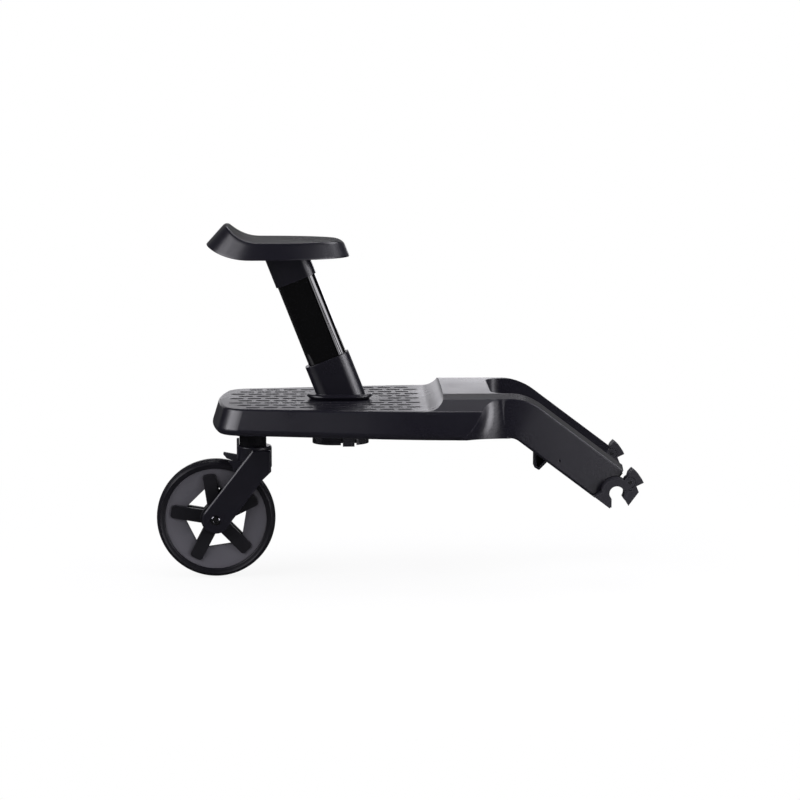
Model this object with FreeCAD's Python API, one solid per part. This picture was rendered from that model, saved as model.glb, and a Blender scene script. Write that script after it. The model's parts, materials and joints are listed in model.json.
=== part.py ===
import FreeCAD, Part
import math
import os

os.makedirs("parts", exist_ok=True)
V = FreeCAD.Vector
UP = V(0, 0, 1)
ACROSS = V(0, 1, 0)

# Buggy board in millimetres: +X towards the stroller, +Y to the left, +Z up, floor at Z = 0.
# The origin lies on the floor under the middle of the bounding box.
# Stations named "..._at" are distances along X from the wheel axle.

# Clearances
slide_gap = 0.2
face_gap = 0.1
bore_gap = 0.05
cover_gap = 0.3
swing_gap = 0.5
overrun = 2.0

# Wheel
wheel_d = 150.0
tyre_w = 30.0
tyre_crown = 5.0
tyre_depth = 11.0
rim_ring_w = 4.0
rim_ring_depth = 14.0
disc_thick = 2.5
disc_dish = 6.0
disc_dish_w = 27.0
window_apothem = 36.0
window_r = 1.5
star_reach = 57.0
star_arm_w = 16.5
star_tip_r = 4.0
star_arms = 5
star_angle = 26.5
spoke_h = 6.5
hub_d = 38.0
hub_w = 26.0
bearing_d = 22.0
bearing_w = 7.0
bearing_inset = 0.5
bearing_shoulder = 2.5
race_w = 2.0
shield_w = 2.5
shield_depth = 0.6
spacer_wall = 2.5
axle_d = 8.0
axle_head_d = 12.0
axle_head_h = 3.5
axle_head_sink = 1.5
axle_socket_d = 6.0
axle_socket_depth = 2.2
nut_d = 14.0
nut_h = 6.0

# Caster
trail = 47.0
leg_thick = 6.5
leg_gap = 35.0
leg_end_r = 17.0
leg_bevel = 1.5
crown_rear = 19.3
crown_front = 23.3
crown_top_z = 167.0
crown_depth = 20.0
crown_bevel = 1.0
leg_drop = 3.5
leg_top_r = 3.0
crown_front_depth = 30.5
knee_back = 11.0
knee_drop = 10.7
web_thick = 3.0
web_tip_at = 15.4
web_tip_z = 150.0
web_mid_at = 21.2
web_mid_z = 144.5
web_toe_at = 23.7
web_toe_z = 135.4
web_r = 6.0
kingpin_d = 14.0
bush_wall = 4.0
bush_len = 14.0
bush_flange = 1.5
bush_flange_w = 2.0
housing_d = 34.0
washer_h = 0.9
collar_d = 52.0
collar_drop = 9.5
housing_flange_d = 70.0
housing_flange_h = 5.0
housing_top = 22.0
circlip_h = 1.2
circlip_w = 3.0
circlip_depth = 1.0
circlip_mouth = 6.0
pin_overrun = 2.5

# Swivel lock
lock_w = 12.0
lock_flank = 1.5
lock_thick = 2.9
lock_proud = 1.0
lock_top_z = 175.5
lock_foot_z = 150.5
lock_stroke = 10.0
fin_len = 18.0
fin_tip_z = 158.2
fin_tip_h = 2.4
fin_root_top_z = 155.0
fin_root_low_z = 147.5
fin_chin = 13.8
fin_chin_z = 150.7
fin_heel = 5.0
fin_edge_r = 0.8
fin_w = 7.0
detent_d = 4.0
detent_len = 6.5

# Deck
deck_z = 226.5
deck_depth = 35.5
deck_rise = 3.0
deck_flare = 10.0
deck_skin = 3.0
deck_rear_at = 5.0
deck_corner_at = 18.5
deck_corner_half = 90.0
deck_corner_r = 32.0
deck_side_at = 190.0
deck_side_half = 114.5
deck_wide_at = 300.0
deck_top_r = 4.0
deck_foot_r = 6.0

# Neck and arms
ramp_foot_at = 264.0
neck_at = 284.0
neck_rise = 12.0
neck_crown = 3.0
neck_half = 100.0
neck_lap = 16.0
neck_rail = 8.0
arm_gap_half = 70.0
arm_gap_at = 343.5
arm_gap_r = 19.0
arm_flare = 9.0
arm_edge_r = 2.5
bend_at = 365.0
bend_r = 16.5
bend_angle = 37.0
slope_len = 127.0
arm_wall = 3.0
scoop_foot_at = 297.0
scoop_mid_at = 318.0
scoop_top_at = 333.0
scoop_foot_end_at = 362.0
scoop_top_end_at = 354.0
scoop_mid_h = 16.0
scoop_out = 1.0
scoop_top_out = 5.0
shoulder_drop = 3.0
dimple_at = 425.5
dimple_z = 162.6
dimple_d = 3.0
dimple_depth = 1.5

# Arm covers and lugs
cover_thick = 2.5
cover_recess = 0.5
cover_start_at = 352.0
cover_short = 16.0
lug_at = 395.0
lug_low_z = 150.0
lug_heel_z = 153.5
lug_toe = 6.0
lug_toe_h = 10.5
lug_len = 16.5
lug_h = 30.0
lug_wall = 2.5
lug_inset = 3.0
lug_r = 1.5

# Axle clips
clip_past = 7.2
clip_under = 29.1
clip_bore = 18.2
clip_boss_r = 18.5
clip_set_in = 2.0
axle_room = 4.0
clip_w = 22.0
clip_root_len = 32.0
clip_root_low = 30.3
clip_root_side = 1.2
clip_web_len = 16.0
clip_web_high = 17.7
clip_tail = 2.0
clip_foot_len = 9.0
lip_half = 6.3
lip_drop = 18.8
lip_toe_w = 1.8
lip_toe_h = 6.0
lip_heel = 21.5
lip_heel_h = 15.0
lip_root = 12.0
lip_root_h = 2.0
lip_r = 1.0
mouth_h = 4.0
jaw_pivot_x = 16.1
jaw_pivot_z = 13.9
jaw_pin_d = 5.0
knuckle_r = 6.5
knuckle_w = 5.0
jaw_reach = 35.5
jaw_low_angle = 22.0
jaw_high_angle = 57.0
jaw_outline = [(24, 9.1), (27, 1.8), (14.3, -15.2), (10.7, -9.1), (6.4, -4.2), (9.6, 2), (9.6, 8), (15, 24.9)]
spring_wire = 0.9
jaw_spring_turns = 2
jaw_spring_w = 2.9
jaw_spring_room = 1.6

# Seat post
post_at = 157.6
post_lean = 21.4
tube_len_x = 49.5
tube_w = 32.0
tube_r = 12.0
tube_wall = 2.0
lower_sleeve_x = 57.8
lower_sleeve_w = 40.0
lower_sleeve_top = 44.5
lower_sleeve_back = 0.9
upper_sleeve_x = 53.0
upper_sleeve_w = 37.0
upper_sleeve_foot = 150.8
sleeve_grip = 30.0
foot_flange_x = 83.0
foot_flange_w = 54.0
foot_flange_h = 6.5
foot_flange_r = 26.0
foot_flange_back = 1.2
sleeve_rise = 2.5
plug_x = 51.0
plug_w = 37.0
plug_r = 8.0
plug_drop = 53.0
plug_wall = 4.0
plug_head = 10.0
plug_nose_w = 17.0
plug_groove = 2.3

# Seat socket and release
socket_x = 71.0
socket_w = 60.0
socket_r = 26.0
socket_low_z = 171.0
socket_flange_h = 4.0
socket_flange_rim = 6.0
cap_h = 2.0
frame_h = 7.0
frame_bar = 2.5
frame_half_x = 31.0
frame_near = 26.0
frame_far = 22.0
release_stroke = 4.0
tab_at = 10.0
tab_w = 14.6
tab_h = 14.5
tab_drop = 1.7
tab_proud = 0.5
slit_w = 2.4
release_spring_d = 5.0
release_spring_turns = 4
spring_boss_d = 10.0
spring_boss_len = 8.0
spring_boss_wall = 2.0

# Seat
seat_low_z = 406.0
seat_pan_z = 427.0
seat_lip_z = 446.5
seat_tail_z = 423.0
seat_tail_over = 12.0
seat_heel_at = 46.0
seat_lip_at = 18.0
seat_pan_at = 56.0
seat_brow_at = 150.0
seat_foot_over = 26.0
seat_foot_wide_at = 50.0
seat_foot_nose_at = 171.0
seat_foot_half = 68.0
seat_top_rear_at = 16.0
seat_top_wide_at = 64.0
seat_top_nose_at = 152.0
seat_top_half = 52.5
seat_skin = 3.0
seat_base_h = 2.5
seat_flange_h = 4.0
seat_flange_rim = 14.0
seat_flange_r = 6.0
seat_screw_rim = 7.7

# Fasteners and grip
screw_d = 4.0
screw_head_d = 7.5
screw_head_h = 2.2
boss_d = 10.0
rear_boss_in = 40.0
side_boss_in = 25.0
cover_screw_bite = 14.0
clip_screw_len = 16.0
clip_screw_inset = 10.0
clip_screw_pitch = 14.0
post_screw_len = 20.0
rib_len = 17.0
rib_w = 3.0
rib_h = 0.8
rib_pitch_x = 22.0
rib_pitch_y = 19.5
rib_margin = 14.0

# Worked out from the sizes above
wheel_r = wheel_d / 2
jaw_tip = jaw_reach * math.cos(math.radians(jaw_low_angle))
slope = math.radians(bend_angle)
deck_low = deck_z - deck_depth
neck_z = deck_z + neck_rise
neck_top = neck_z + neck_crown
arm_depth = neck_top - deck_low
arm_turn = bend_r + arm_depth
bend_z = deck_low - bend_r
axle_to_clip = bend_at + (arm_turn - clip_under) * math.sin(slope) + (slope_len + clip_past) * math.cos(slope)
clip_z = bend_z + (arm_turn - clip_under) * math.cos(slope) - (slope_len + clip_past) * math.sin(slope)
axle_x = (wheel_r - axle_to_clip - jaw_tip) / 2
swivel_x = axle_x + trail
clip_x = axle_x + axle_to_clip
post_x = axle_x + post_at
side_slope = (deck_side_half - deck_corner_half) / (deck_side_at - deck_corner_at)
deck_half = deck_side_half + (deck_wide_at - deck_side_at) * math.tan(math.atan(side_slope) / 2)
rim_r = wheel_r - tyre_depth
leg_half = leg_gap / 2
leg_out = leg_half + leg_thick
housing_low = crown_top_z + washer_h + face_gap
collar_low = deck_low - collar_drop
board_cover_z = deck_low + deck_rise + cover_recess
flange_seat_z = board_cover_z + cover_thick
pin_top_z = deck_low + housing_top
along = V(math.cos(slope), 0, -math.sin(slope))
inward = V(-math.sin(slope), 0, -math.cos(slope))
bend_x = axle_x + bend_at
lean = math.radians(post_lean)
post_foot = V(post_x, 0, deck_z + foot_flange_h + sleeve_rise)
clip_inner = neck_half - clip_set_in
clip_outer = clip_inner + clip_w


def at(distance):
    return axle_x + distance


def rounded_wire(points, radii):
    edges = []
    ends = []
    for i, p in enumerate(points):
        a = (points[i - 1] - p).normalize()
        b = (points[(i + 1) % len(points)] - p).normalize()
        r = radii[i] if isinstance(radii, (list, tuple)) else radii
        if r == 0:
            ends.append((p, p))
            continue
        half = a.getAngle(b) / 2
        reach = r / math.tan(half)
        middle = (a + b).normalize()
        top = p + middle * (r / math.sin(half) - r)
        ends.append((p + a * reach, p + b * reach))
        edges.append(Part.Arc(ends[-1][0], top, ends[-1][1]).toShape())
    for i in range(len(points)):
        start = ends[i - 1][1]
        stop = ends[i][0]
        if start.distanceToPoint(stop) > 1e-6:
            edges.append(Part.makeLine(start, stop))
    return Part.Wire(Part.__sortEdges__(edges))


def slab(points, radii, y0, y1):
    outline = rounded_wire([V(x, y0, z) for x, z in points], radii)
    return Part.Face(outline).extrude(V(0, y1 - y0, 0))


def plate(points, radii, z0, z1):
    outline = rounded_wire([V(x, y, z0) for x, y in points], radii)
    return Part.Face(outline).extrude(V(0, 0, z1 - z0))


def oblong(length, width, r, z0, z1, cx):
    a = length / 2
    b = width / 2
    corners = [(cx - a, -b), (cx + a, -b), (cx + a, b), (cx - a, b)]
    return plate(corners, r, z0, z1)


def rod(d, start, axis, length):
    return Part.makeCylinder(d / 2, length, start, axis)


def tube(outer, inner, start, axis, length):
    return rod(outer, start, axis, length).cut(rod(inner, start, axis, length))


def box(x0, x1, y0, y1, z0, z1):
    return Part.makeBox(x1 - x0, y1 - y0, z1 - z0, V(x0, y0, z0))


def mirrored(shape):
    return shape.mirror(V(0, 0, 0), ACROSS)


def tangent_arc(p, tangent, q):
    chord = q - p
    unit = V(chord).normalize()
    side = tangent - unit * tangent.dot(unit)
    angle = tangent.getAngle(chord)
    sagitta = chord.Length / 2 * math.tan(angle / 2)
    return Part.Arc(p, (p + q) * 0.5 + side.normalize() * sagitta, q).toShape()


def biarc(p, tp, q, tq):
    v = q - p
    t = tp + tq
    bend = 2 * (1 - tp.dot(tq))
    reach = (-v.dot(t) + math.sqrt(v.dot(t) ** 2 + bend * v.dot(v))) / bend
    joint = (p + tp * reach + q - tq * reach) * 0.5
    first = tangent_arc(p, tp, joint)
    second = tangent_arc(q, tq * -1, joint)
    return [first, second]


def coil(mean_r, wire, length, turns, centre):
    """Helical spring along +Y from the centre point, as one unbroken tube."""
    steps = turns * 4
    pitch = length / turns
    rise = pitch / (2 * math.pi)
    def point(i):
        a = i * math.pi / 2
        return centre + V(mean_r * math.cos(a), pitch * i / 4, mean_r * math.sin(a))
    def heading(i):
        a = i * math.pi / 2
        return V(-mean_r * math.sin(a), rise, mean_r * math.cos(a)).normalize()
    edges = []
    for i in range(steps):
        edges += biarc(point(i), heading(i), point(i + 1), heading(i + 1))
    path = Part.Wire(Part.__sortEdges__(edges))
    section = Part.Wire(Part.Circle(point(0), heading(0), wire / 2).toShape())
    print("coil self gap", round(self_gap(path, turns) - wire, 2))
    return path.makePipeShell([section], True, False)


def self_gap(path, turns):
    """Least distance between points of a coil's middle line that lie half a turn or more apart."""
    per_turn = 48
    points = path.discretize(Number=turns * per_turn + 1)
    gaps = []
    for i, p in enumerate(points):
        gaps += [p.distanceToPoint(q) for q in points[i + per_turn // 2:]]
    return min(gaps)


def screw(head, axis, length):
    shank = rod(screw_d, head, axis, length)
    return rod(screw_head_d, head, axis, screw_head_h).fuse(shank)


# Wheel

def tyre():
    half = tyre_w / 2
    shoulder = wheel_r - tyre_crown
    a = V(axle_x, -half, wheel_r + rim_r)
    b = V(axle_x, -half, wheel_r + shoulder)
    c = V(axle_x, half, wheel_r + shoulder)
    d = V(axle_x, half, wheel_r + rim_r)
    crown = Part.Arc(b, V(axle_x, 0, wheel_d), c).toShape()
    edges = [Part.makeLine(a, b), crown, Part.makeLine(c, d), Part.makeLine(d, a)]
    face = Part.Face(Part.Wire(edges))
    return face.revolve(V(axle_x, 0, wheel_r), ACROSS, 360)


def rim_ring():
    start = V(axle_x, -rim_ring_w / 2, wheel_r)
    return tube(2 * rim_r, 2 * (rim_r - rim_ring_depth), start, ACROSS, rim_ring_w)


def window(y0, y1):
    reach = window_apothem / math.cos(math.pi / star_arms)
    points = []
    for k in range(star_arms):
        a = math.radians(star_angle) + 2 * math.pi * k / star_arms
        points.append((axle_x + reach * math.cos(a), wheel_r + reach * math.sin(a)))
    return slab(points, window_r, y0, y1)


def rim_disc():
    inner = rim_ring_w / 2
    outer = inner + disc_thick
    rim_y = outer + disc_dish
    flat_r = rim_r - disc_dish_w
    edge_r = rim_r - face_gap
    profile = [(0, inner), (0, outer), (flat_r, outer), (edge_r, rim_y), (edge_r, inner)]
    points = [V(axle_x, y, wheel_r + r) for r, y in profile]
    face = Part.Face(Part.makePolygon(points + points[:1]))
    disc = face.revolve(V(axle_x, 0, wheel_r), ACROSS, 360)
    disc = disc.cut(window(inner - overrun, rim_y + overrun))
    return disc.cut(star_face(outer, outer + spoke_h, face_gap))


def star_face(y0, y1, grow=0):
    star = rod(hub_d + 2 * grow, V(axle_x, y0, wheel_r), ACROSS, y1 - y0)
    half = star_arm_w / 2 + grow
    reach = star_reach + grow
    corners = [(0, -half), (reach, -half), (reach, half), (0, half)]
    arm = [(axle_x + x, wheel_r + z) for x, z in corners]
    for k in range(star_arms):
        spoke = slab(arm, [0, star_tip_r, star_tip_r, 0], y0, y1)
        spoke.rotate(V(axle_x, 0, wheel_r), ACROSS, -(star_angle + 360 / star_arms * k))
        star = star.fuse(spoke)
    return star


def wheel_star():
    half = hub_w / 2
    face_y = rim_ring_w / 2 + disc_thick
    top_y = face_y + spoke_h
    star = rod(hub_d, V(axle_x, -half, wheel_r), ACROSS, hub_w)
    star = star.fuse(star_face(face_y, top_y)).fuse(star_face(-top_y, -face_y))
    bore = bearing_w + bearing_inset
    for side in (-1, 1):
        star = star.cut(rod(bearing_d, V(axle_x, side * half, wheel_r), ACROSS * -side, bore))
    through = rod(bearing_d - 2 * bearing_shoulder, V(axle_x, -half, wheel_r), ACROSS, hub_w)
    return star.cut(through).removeSplitter()


def wheel_bearing(side):
    start = V(axle_x, side * (hub_w / 2 - bearing_inset), wheel_r)
    ring = tube(bearing_d, axle_d + 2 * bore_gap, start, ACROSS * -side, bearing_w)
    outer = bearing_d - 2 * race_w
    groove = tube(outer, outer - 2 * shield_w, start, ACROSS * -side, shield_depth)
    return ring.cut(groove)


def bearing_spacer():
    length = hub_w - 2 * (bearing_w + bearing_inset)
    start = V(axle_x, -length / 2, wheel_r)
    return tube(axle_d + 2 * spacer_wall, axle_d + 2 * bore_gap, start, ACROSS, length)


# Caster

def axle_spacers():
    length = leg_half - (hub_w / 2 - bearing_inset) - face_gap
    pieces = []
    for side in (-1, 1):
        start = V(axle_x, side * leg_half, wheel_r)
        pieces.append(tube(axle_d + 2 * spacer_wall, axle_d, start, ACROSS * -side, length))
    return Part.makeCompound(pieces)


def axle_bolt():
    head_y = axle_head_sink - leg_out
    shank = rod(axle_d, V(axle_x, head_y, wheel_r), ACROSS, leg_out + nut_h - head_y)
    face_y = head_y - axle_head_h
    head = rod(axle_head_d, V(axle_x, face_y, wheel_r), ACROSS, axle_head_h)
    rim = [e for e in head.Edges if abs(e.BoundBox.YMax - face_y) < 0.01 and len(e.Vertexes) == 1]
    head = head.makeFillet(axle_head_h * 0.6, rim)
    socket = Part.makePolygon([hexagon_point(axle_socket_d, k, face_y) for k in range(7)])
    recess = Part.Face(socket).extrude(V(0, axle_socket_depth, 0))
    return shank.fuse(head).cut(recess).removeSplitter()


def hexagon_point(across, k, y):
    a = math.pi / 3 * k
    r = across / 2 / math.cos(math.pi / 6)
    return V(axle_x + r * math.cos(a), y, wheel_r + r * math.sin(a))


def axle_nut():
    outline = Part.makePolygon([hexagon_point(nut_d, k, leg_out) for k in range(7)])
    nut = Part.Face(outline).extrude(V(0, nut_h, 0))
    return nut.cut(rod(axle_d, V(axle_x, leg_out, wheel_r), ACROSS, nut_h))


def leg_outline():
    top = crown_top_z - leg_drop
    front = swivel_x + crown_front
    shin_z = crown_top_z - crown_front_depth
    knee = V(front - knee_back, 0, shin_z - knee_drop)
    head = V(swivel_x, 0, top)
    axle = V(axle_x, 0, wheel_r)
    front_touch = touch_point(knee, axle, 1)
    rear_touch = touch_point(head, axle, -1)
    toe = axle - (knee + head - axle * 2).normalize() * leg_end_r
    corner = V(front - leg_top_r, 0, top - leg_top_r)
    bulge = corner + V(1, 0, 1).normalize() * leg_top_r
    edges = [
        Part.makeLine(head, V(front - leg_top_r, 0, top)),
        Part.Arc(V(front - leg_top_r, 0, top), bulge, V(front, 0, top - leg_top_r)).toShape(),
        Part.makeLine(V(front, 0, top - leg_top_r), V(front, 0, shin_z)),
        Part.makeLine(V(front, 0, shin_z), knee),
        Part.makeLine(knee, front_touch),
        Part.Arc(front_touch, toe, rear_touch).toShape(),
        Part.makeLine(rear_touch, head),
    ]
    return Part.Wire(edges)


def touch_point(p, centre, side):
    out = p - centre
    spread = math.acos(leg_end_r / out.Length)
    a = math.atan2(out.z, out.x) - side * spread
    return centre + V(math.cos(a), 0, math.sin(a)) * leg_end_r


def caster_fork():
    leg = Part.Face(leg_outline()).extrude(V(0, leg_thick, 0))
    leg.translate(V(0, -leg_out, 0))
    outer = [e for e in leg.Edges if abs(e.BoundBox.YMax + leg_out) < 0.01]
    leg = leg.makeChamfer(leg_bevel, outer)
    low = crown_top_z - crown_depth
    crown_x = swivel_x + (crown_front - crown_rear) / 2
    crown = rod(crown_front + crown_rear, V(crown_x, 0, low), UP, crown_depth)
    rim = [e for e in crown.Edges if e.BoundBox.ZMin > crown_top_z - 0.01]
    crown = crown.makeChamfer(crown_bevel, rim)
    web = fork_web()
    fork = crown.fuse(leg).fuse(mirrored(leg)).fuse(web).fuse(mirrored(web))
    fork = fork.cut(rod(axle_d, V(axle_x, -leg_out, wheel_r), ACROSS, 2 * leg_out))
    fork = fork.cut(rod(axle_head_d + 2 * cover_gap, V(axle_x, -leg_out, wheel_r), ACROSS, axle_head_sink))
    fork = fork.cut(rod(kingpin_d, V(swivel_x, 0, low), UP, crown_depth))
    groove = lock_rail(slide_gap, low - 1, crown_top_z + 1)
    return fork.cut(groove).cut(detent_bore(detent_len)).removeSplitter()


def fork_web():
    points = [
        (at(web_tip_at), web_tip_z),
        (at(web_mid_at), web_mid_z),
        (at(web_toe_at), web_toe_z),
        (swivel_x, web_toe_z),
        (swivel_x, web_tip_z),
    ]
    return slab(points, [fin_edge_r, web_r, fin_edge_r, 0, 0], -leg_half - web_thick, -leg_half)


def lock_rail(gap, z0, z1):
    rear = swivel_x - crown_rear - lock_proud
    deep = rear + lock_thick + gap
    half = lock_w / 2 + gap
    points = [(rear - gap, -half + lock_flank), (deep, -half), (deep, half), (rear - gap, half - lock_flank)]
    return plate(points, 0, z0, z1)


def swivel_lock():
    rail = lock_rail(0, lock_foot_z, lock_top_z)
    rear = swivel_x - crown_rear
    points = [
        (rear, fin_root_low_z),
        (rear, fin_root_top_z),
        (rear - fin_len, fin_tip_z),
        (rear - fin_len, fin_tip_z - fin_tip_h),
        (rear - fin_chin, fin_chin_z),
        (rear - fin_heel, fin_root_low_z),
    ]
    r = fin_edge_r
    fin = slab(points, [0, 0, r, r, r, r], -fin_w / 2, fin_w / 2)
    fin = fin.cut(box(rear - slide_gap, rear + 1, -fin_w, fin_w, 0, crown_top_z))
    return rail.fuse(fin).removeSplitter()


def detent_bore(length):
    floor = swivel_x - crown_rear - lock_proud + lock_thick + slide_gap
    return rod(detent_d, V(floor, 0, crown_top_z - crown_depth / 2), V(1, 0, 0), length)


def lock_detent():
    return detent_bore(detent_len)


def thrust_washer():
    return tube(housing_d, kingpin_d + 2 * bore_gap, V(swivel_x, 0, crown_top_z), UP, washer_h)


def kingpin():
    low = crown_top_z - crown_depth
    pin = rod(kingpin_d, V(swivel_x, 0, low), UP, pin_top_z + pin_overrun + circlip_h - low)
    start = V(swivel_x, 0, pin_top_z + bush_flange)
    groove = tube(kingpin_d + overrun, kingpin_d - 2 * circlip_depth, start, UP, circlip_h)
    return pin.cut(groove)


def kingpin_circlip():
    inner = kingpin_d - 2 * circlip_depth
    clip = tube(inner + 2 * circlip_w, inner, V(swivel_x, 0, pin_top_z + bush_flange), UP, circlip_h)
    half = circlip_mouth / 2
    mouth = box(swivel_x, swivel_x + kingpin_d, -half, half, pin_top_z, pin_top_z + kingpin_d)
    return clip.cut(mouth)


def swivel_bush(z, axis):
    bore = kingpin_d + 2 * bore_gap
    outer = kingpin_d + 2 * bush_wall
    place = V(swivel_x, 0, z)
    body = tube(outer, bore, place, axis, bush_len)
    lip = tube(outer + 2 * bush_flange_w, bore, place, axis * -1, bush_flange)
    return body.fuse(lip).removeSplitter()


def caster_housing():
    top = pin_top_z
    place = V(swivel_x, 0, housing_low)
    body = rod(housing_d, place, UP, top - housing_low)
    collar = rod(collar_d, V(swivel_x, 0, collar_low), UP, flange_seat_z - collar_low)
    flange = rod(housing_flange_d, V(swivel_x, 0, flange_seat_z), UP, housing_flange_h)
    notch_top = lock_top_z + lock_stroke + cover_gap
    notch = box(swivel_x - collar_d, swivel_x + collar_d, -lock_w / 2 - 1, lock_w / 2 + 1, 0, notch_top)
    notch = notch.cut(rod(housing_d, V(swivel_x, 0, 0), UP, deck_z))
    body = body.fuse(collar.cut(notch)).fuse(flange)
    body = body.cut(rod(kingpin_d + 2 * bush_wall, place, UP, top - housing_low))
    seat_d = kingpin_d + 2 * bush_wall + 2 * bush_flange_w
    body = body.cut(rod(seat_d, place, UP, bush_flange))
    for x, y in housing_screws():
        body = body.cut(rod(screw_d, V(x, y, flange_seat_z), UP, housing_flange_h))
    return body.removeSplitter()


def housing_screws():
    reach = (collar_d + housing_flange_d) / 4
    places = []
    for k in range(4):
        a = math.pi / 4 + math.pi / 2 * k
        places.append((swivel_x + reach * math.cos(a), reach * math.sin(a)))
    return places


# Deck

def deck_outline(grow, z, rise=0):
    front = at(bend_at)
    tilt = rise / (bend_at - deck_rear_at)
    def spot(x, y):
        return V(x, y, z + tilt * (front - x))
    half = deck_half + grow
    heading = V(-1, 0, tilt).normalize()
    edges = []
    corners = []
    for side in (-1, 1):
        a = spot(front, side * half)
        b = spot(at(deck_wide_at), side * half)
        c = spot(at(deck_side_at), side * (deck_side_half + grow))
        d = spot(at(deck_corner_at) - grow, side * (deck_corner_half + grow))
        edges += [Part.makeLine(a, b), tangent_arc(b, heading, c), Part.makeLine(c, d)]
        corners += [a, d]
    edges.append(Part.Arc(corners[1], spot(at(deck_rear_at) - grow, 0), corners[3]).toShape())
    edges.append(Part.makeLine(corners[0], corners[2]))
    return Part.Wire(Part.__sortEdges__(edges))


def corner_edges(shape):
    reach = at(deck_corner_at + deck_corner_r)
    return [e for e in shape.Edges if e.BoundBox.ZLength > 1 and e.BoundBox.XMax < reach]


def rim_edges(shape, z0, z1):
    front = at(bend_at) - 0.1
    edges = [e for e in shape.Edges if e.BoundBox.ZMin > z0 - 0.01 and e.BoundBox.ZMax < z1 + 0.01]
    return [e for e in edges if e.BoundBox.XMin < front]


def tray():
    foot = deck_outline(deck_flare, deck_low, deck_rise)
    loft = Part.makeLoft([foot, deck_outline(0, deck_z)], True, True)
    loft = loft.makeFillet(deck_corner_r, corner_edges(loft))
    loft = loft.makeFillet(deck_foot_r, rim_edges(loft, deck_low, deck_low + deck_rise * 1.2))
    return loft.makeFillet(deck_top_r, rim_edges(loft, deck_z, deck_z))


def inner_plate(grow, z0, z1, front):
    solid = Part.Face(deck_outline(grow, z0)).extrude(V(0, 0, z1 - z0))
    solid = solid.makeFillet(deck_corner_r + grow, corner_edges(solid))
    reach = 2 * deck_half
    return solid.cut(box(front, front + reach, -reach, reach, z0 - overrun, z1 + overrun))


def neck():
    foot = deck_half + deck_flare * shoulder_drop / deck_depth
    low = deck_z - shoulder_drop
    points = [
        (-foot, low), (-neck_half, neck_z), (-arm_gap_half, neck_top),
        (arm_gap_half, neck_top), (neck_half, neck_z), (foot, low),
    ]
    start = at(ramp_foot_at - 2)
    outline = rounded_wire([V(start, y, z) for y, z in points], [0, arm_edge_r, 0, 0, arm_edge_r, 0])
    solid = Part.Face(outline).extrude(V(bend_x - start, 0, 0))
    toe = V(at(ramp_foot_at), 0, deck_z)
    head = V(at(neck_at), 0, neck_top)
    above = head + V(0, 0, deck_depth)
    back = toe - V(deck_depth, 0, 0)
    edges = [
        tangent_arc(toe, V(1, 0, 0), head),
        Part.makeLine(head, above),
        Part.makeLine(above, back + V(0, 0, deck_depth)),
        Part.makeLine(back + V(0, 0, deck_depth), back),
        Part.makeLine(back, toe),
    ]
    ramp = Part.Face(Part.Wire(edges)).extrude(V(0, 4 * neck_half, 0))
    ramp.translate(V(0, -2 * neck_half, 0))
    return solid.cut(ramp)


def arm_path(start, length):
    z = neck_top
    r = arm_turn
    a = V(start, 0, z)
    b = V(bend_x, 0, z)
    centre = V(bend_x, 0, bend_z)
    c = centre + V(math.sin(slope), 0, math.cos(slope)) * r
    middle = centre + V(math.sin(slope / 2), 0, math.cos(slope / 2)) * r
    d = c + along * length
    return Part.Wire([Part.makeLine(a, b), Part.Arc(b, middle, c).toShape(), Part.makeLine(c, d)])


def arm_sweep(points, radii, start, length):
    section = rounded_wire([V(start, y, neck_top - d) for y, d in points], radii)
    return arm_path(start, length).makePipeShell([section], True, False)


def slope_point(t, depth, y):
    top = V(bend_x, y, bend_z) + V(math.sin(slope), 0, math.cos(slope)) * arm_turn
    return top + along * t + inward * depth


def slope_box(t0, t1, d0, d1, y0, y1):
    places = [(t0, d0), (t1, d0), (t1, d1), (t0, d1)]
    corners = [slope_point(t, d, y0) for t, d in places]
    return Part.Face(Part.makePolygon(corners + corners[:1])).extrude(V(0, y1 - y0, 0))


def arm_face(depth):
    return neck_half + arm_flare * max(0, depth - neck_crown) / (arm_depth - neck_crown)


def arms():
    foot = neck_half + arm_flare
    points = [
        (-foot, arm_depth), (-neck_half, neck_crown), (-arm_gap_half, 0),
        (arm_gap_half, 0), (neck_half, neck_crown), (foot, arm_depth),
    ]
    radii = [arm_edge_r, arm_edge_r, 0, 0, arm_edge_r, arm_edge_r]
    return arm_sweep(points, radii, at(neck_at + neck_lap), slope_len)


def scoop_section(z, start_at, start_half, end_at):
    half = arm_face(neck_top - z)
    side = deck_half + 2 * deck_flare
    a = V(at(start_at), -start_half, z)
    b = V(at(end_at), -half, z)
    c = V(bend_x + overrun, -half + overrun, z)
    d = V(bend_x + overrun, -side, z)
    e = V(at(start_at), -side, z)
    edges = [
        tangent_arc(b, V(-1, 0, 0), a),
        Part.makeLine(b, c),
        Part.makeLine(c, d),
        Part.makeLine(d, e),
        Part.makeLine(e, a),
    ]
    return Part.Wire(Part.__sortEdges__(edges))


def scoop():
    """Hollow that sweeps the deck's side in to the arm, cut before the arm is joined on."""
    foot_half = deck_half + deck_flare + scoop_out
    mid_half = foot_half - deck_flare * scoop_mid_h / deck_depth
    mid_end_at = (scoop_foot_end_at + scoop_top_end_at) / 2
    sections = [
        scoop_section(deck_low - overrun, scoop_foot_at, foot_half, scoop_foot_end_at),
        scoop_section(deck_low + scoop_mid_h, scoop_mid_at, mid_half, mid_end_at),
        scoop_section(neck_top + overrun, scoop_top_at, neck_half + scoop_top_out, scoop_top_end_at),
    ]
    return Part.makeLoft(sections, True, False)


def arm_hollow(d0, d1, gap, start, length):
    inner = arm_gap_half + arm_wall + gap
    points = [
        (inner, d0),
        (arm_face(d0) - arm_wall - gap, d0),
        (arm_face(d1) - arm_wall - gap, d1),
        (inner, d1),
    ]
    return arm_sweep(points, 0, start, length)


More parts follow.
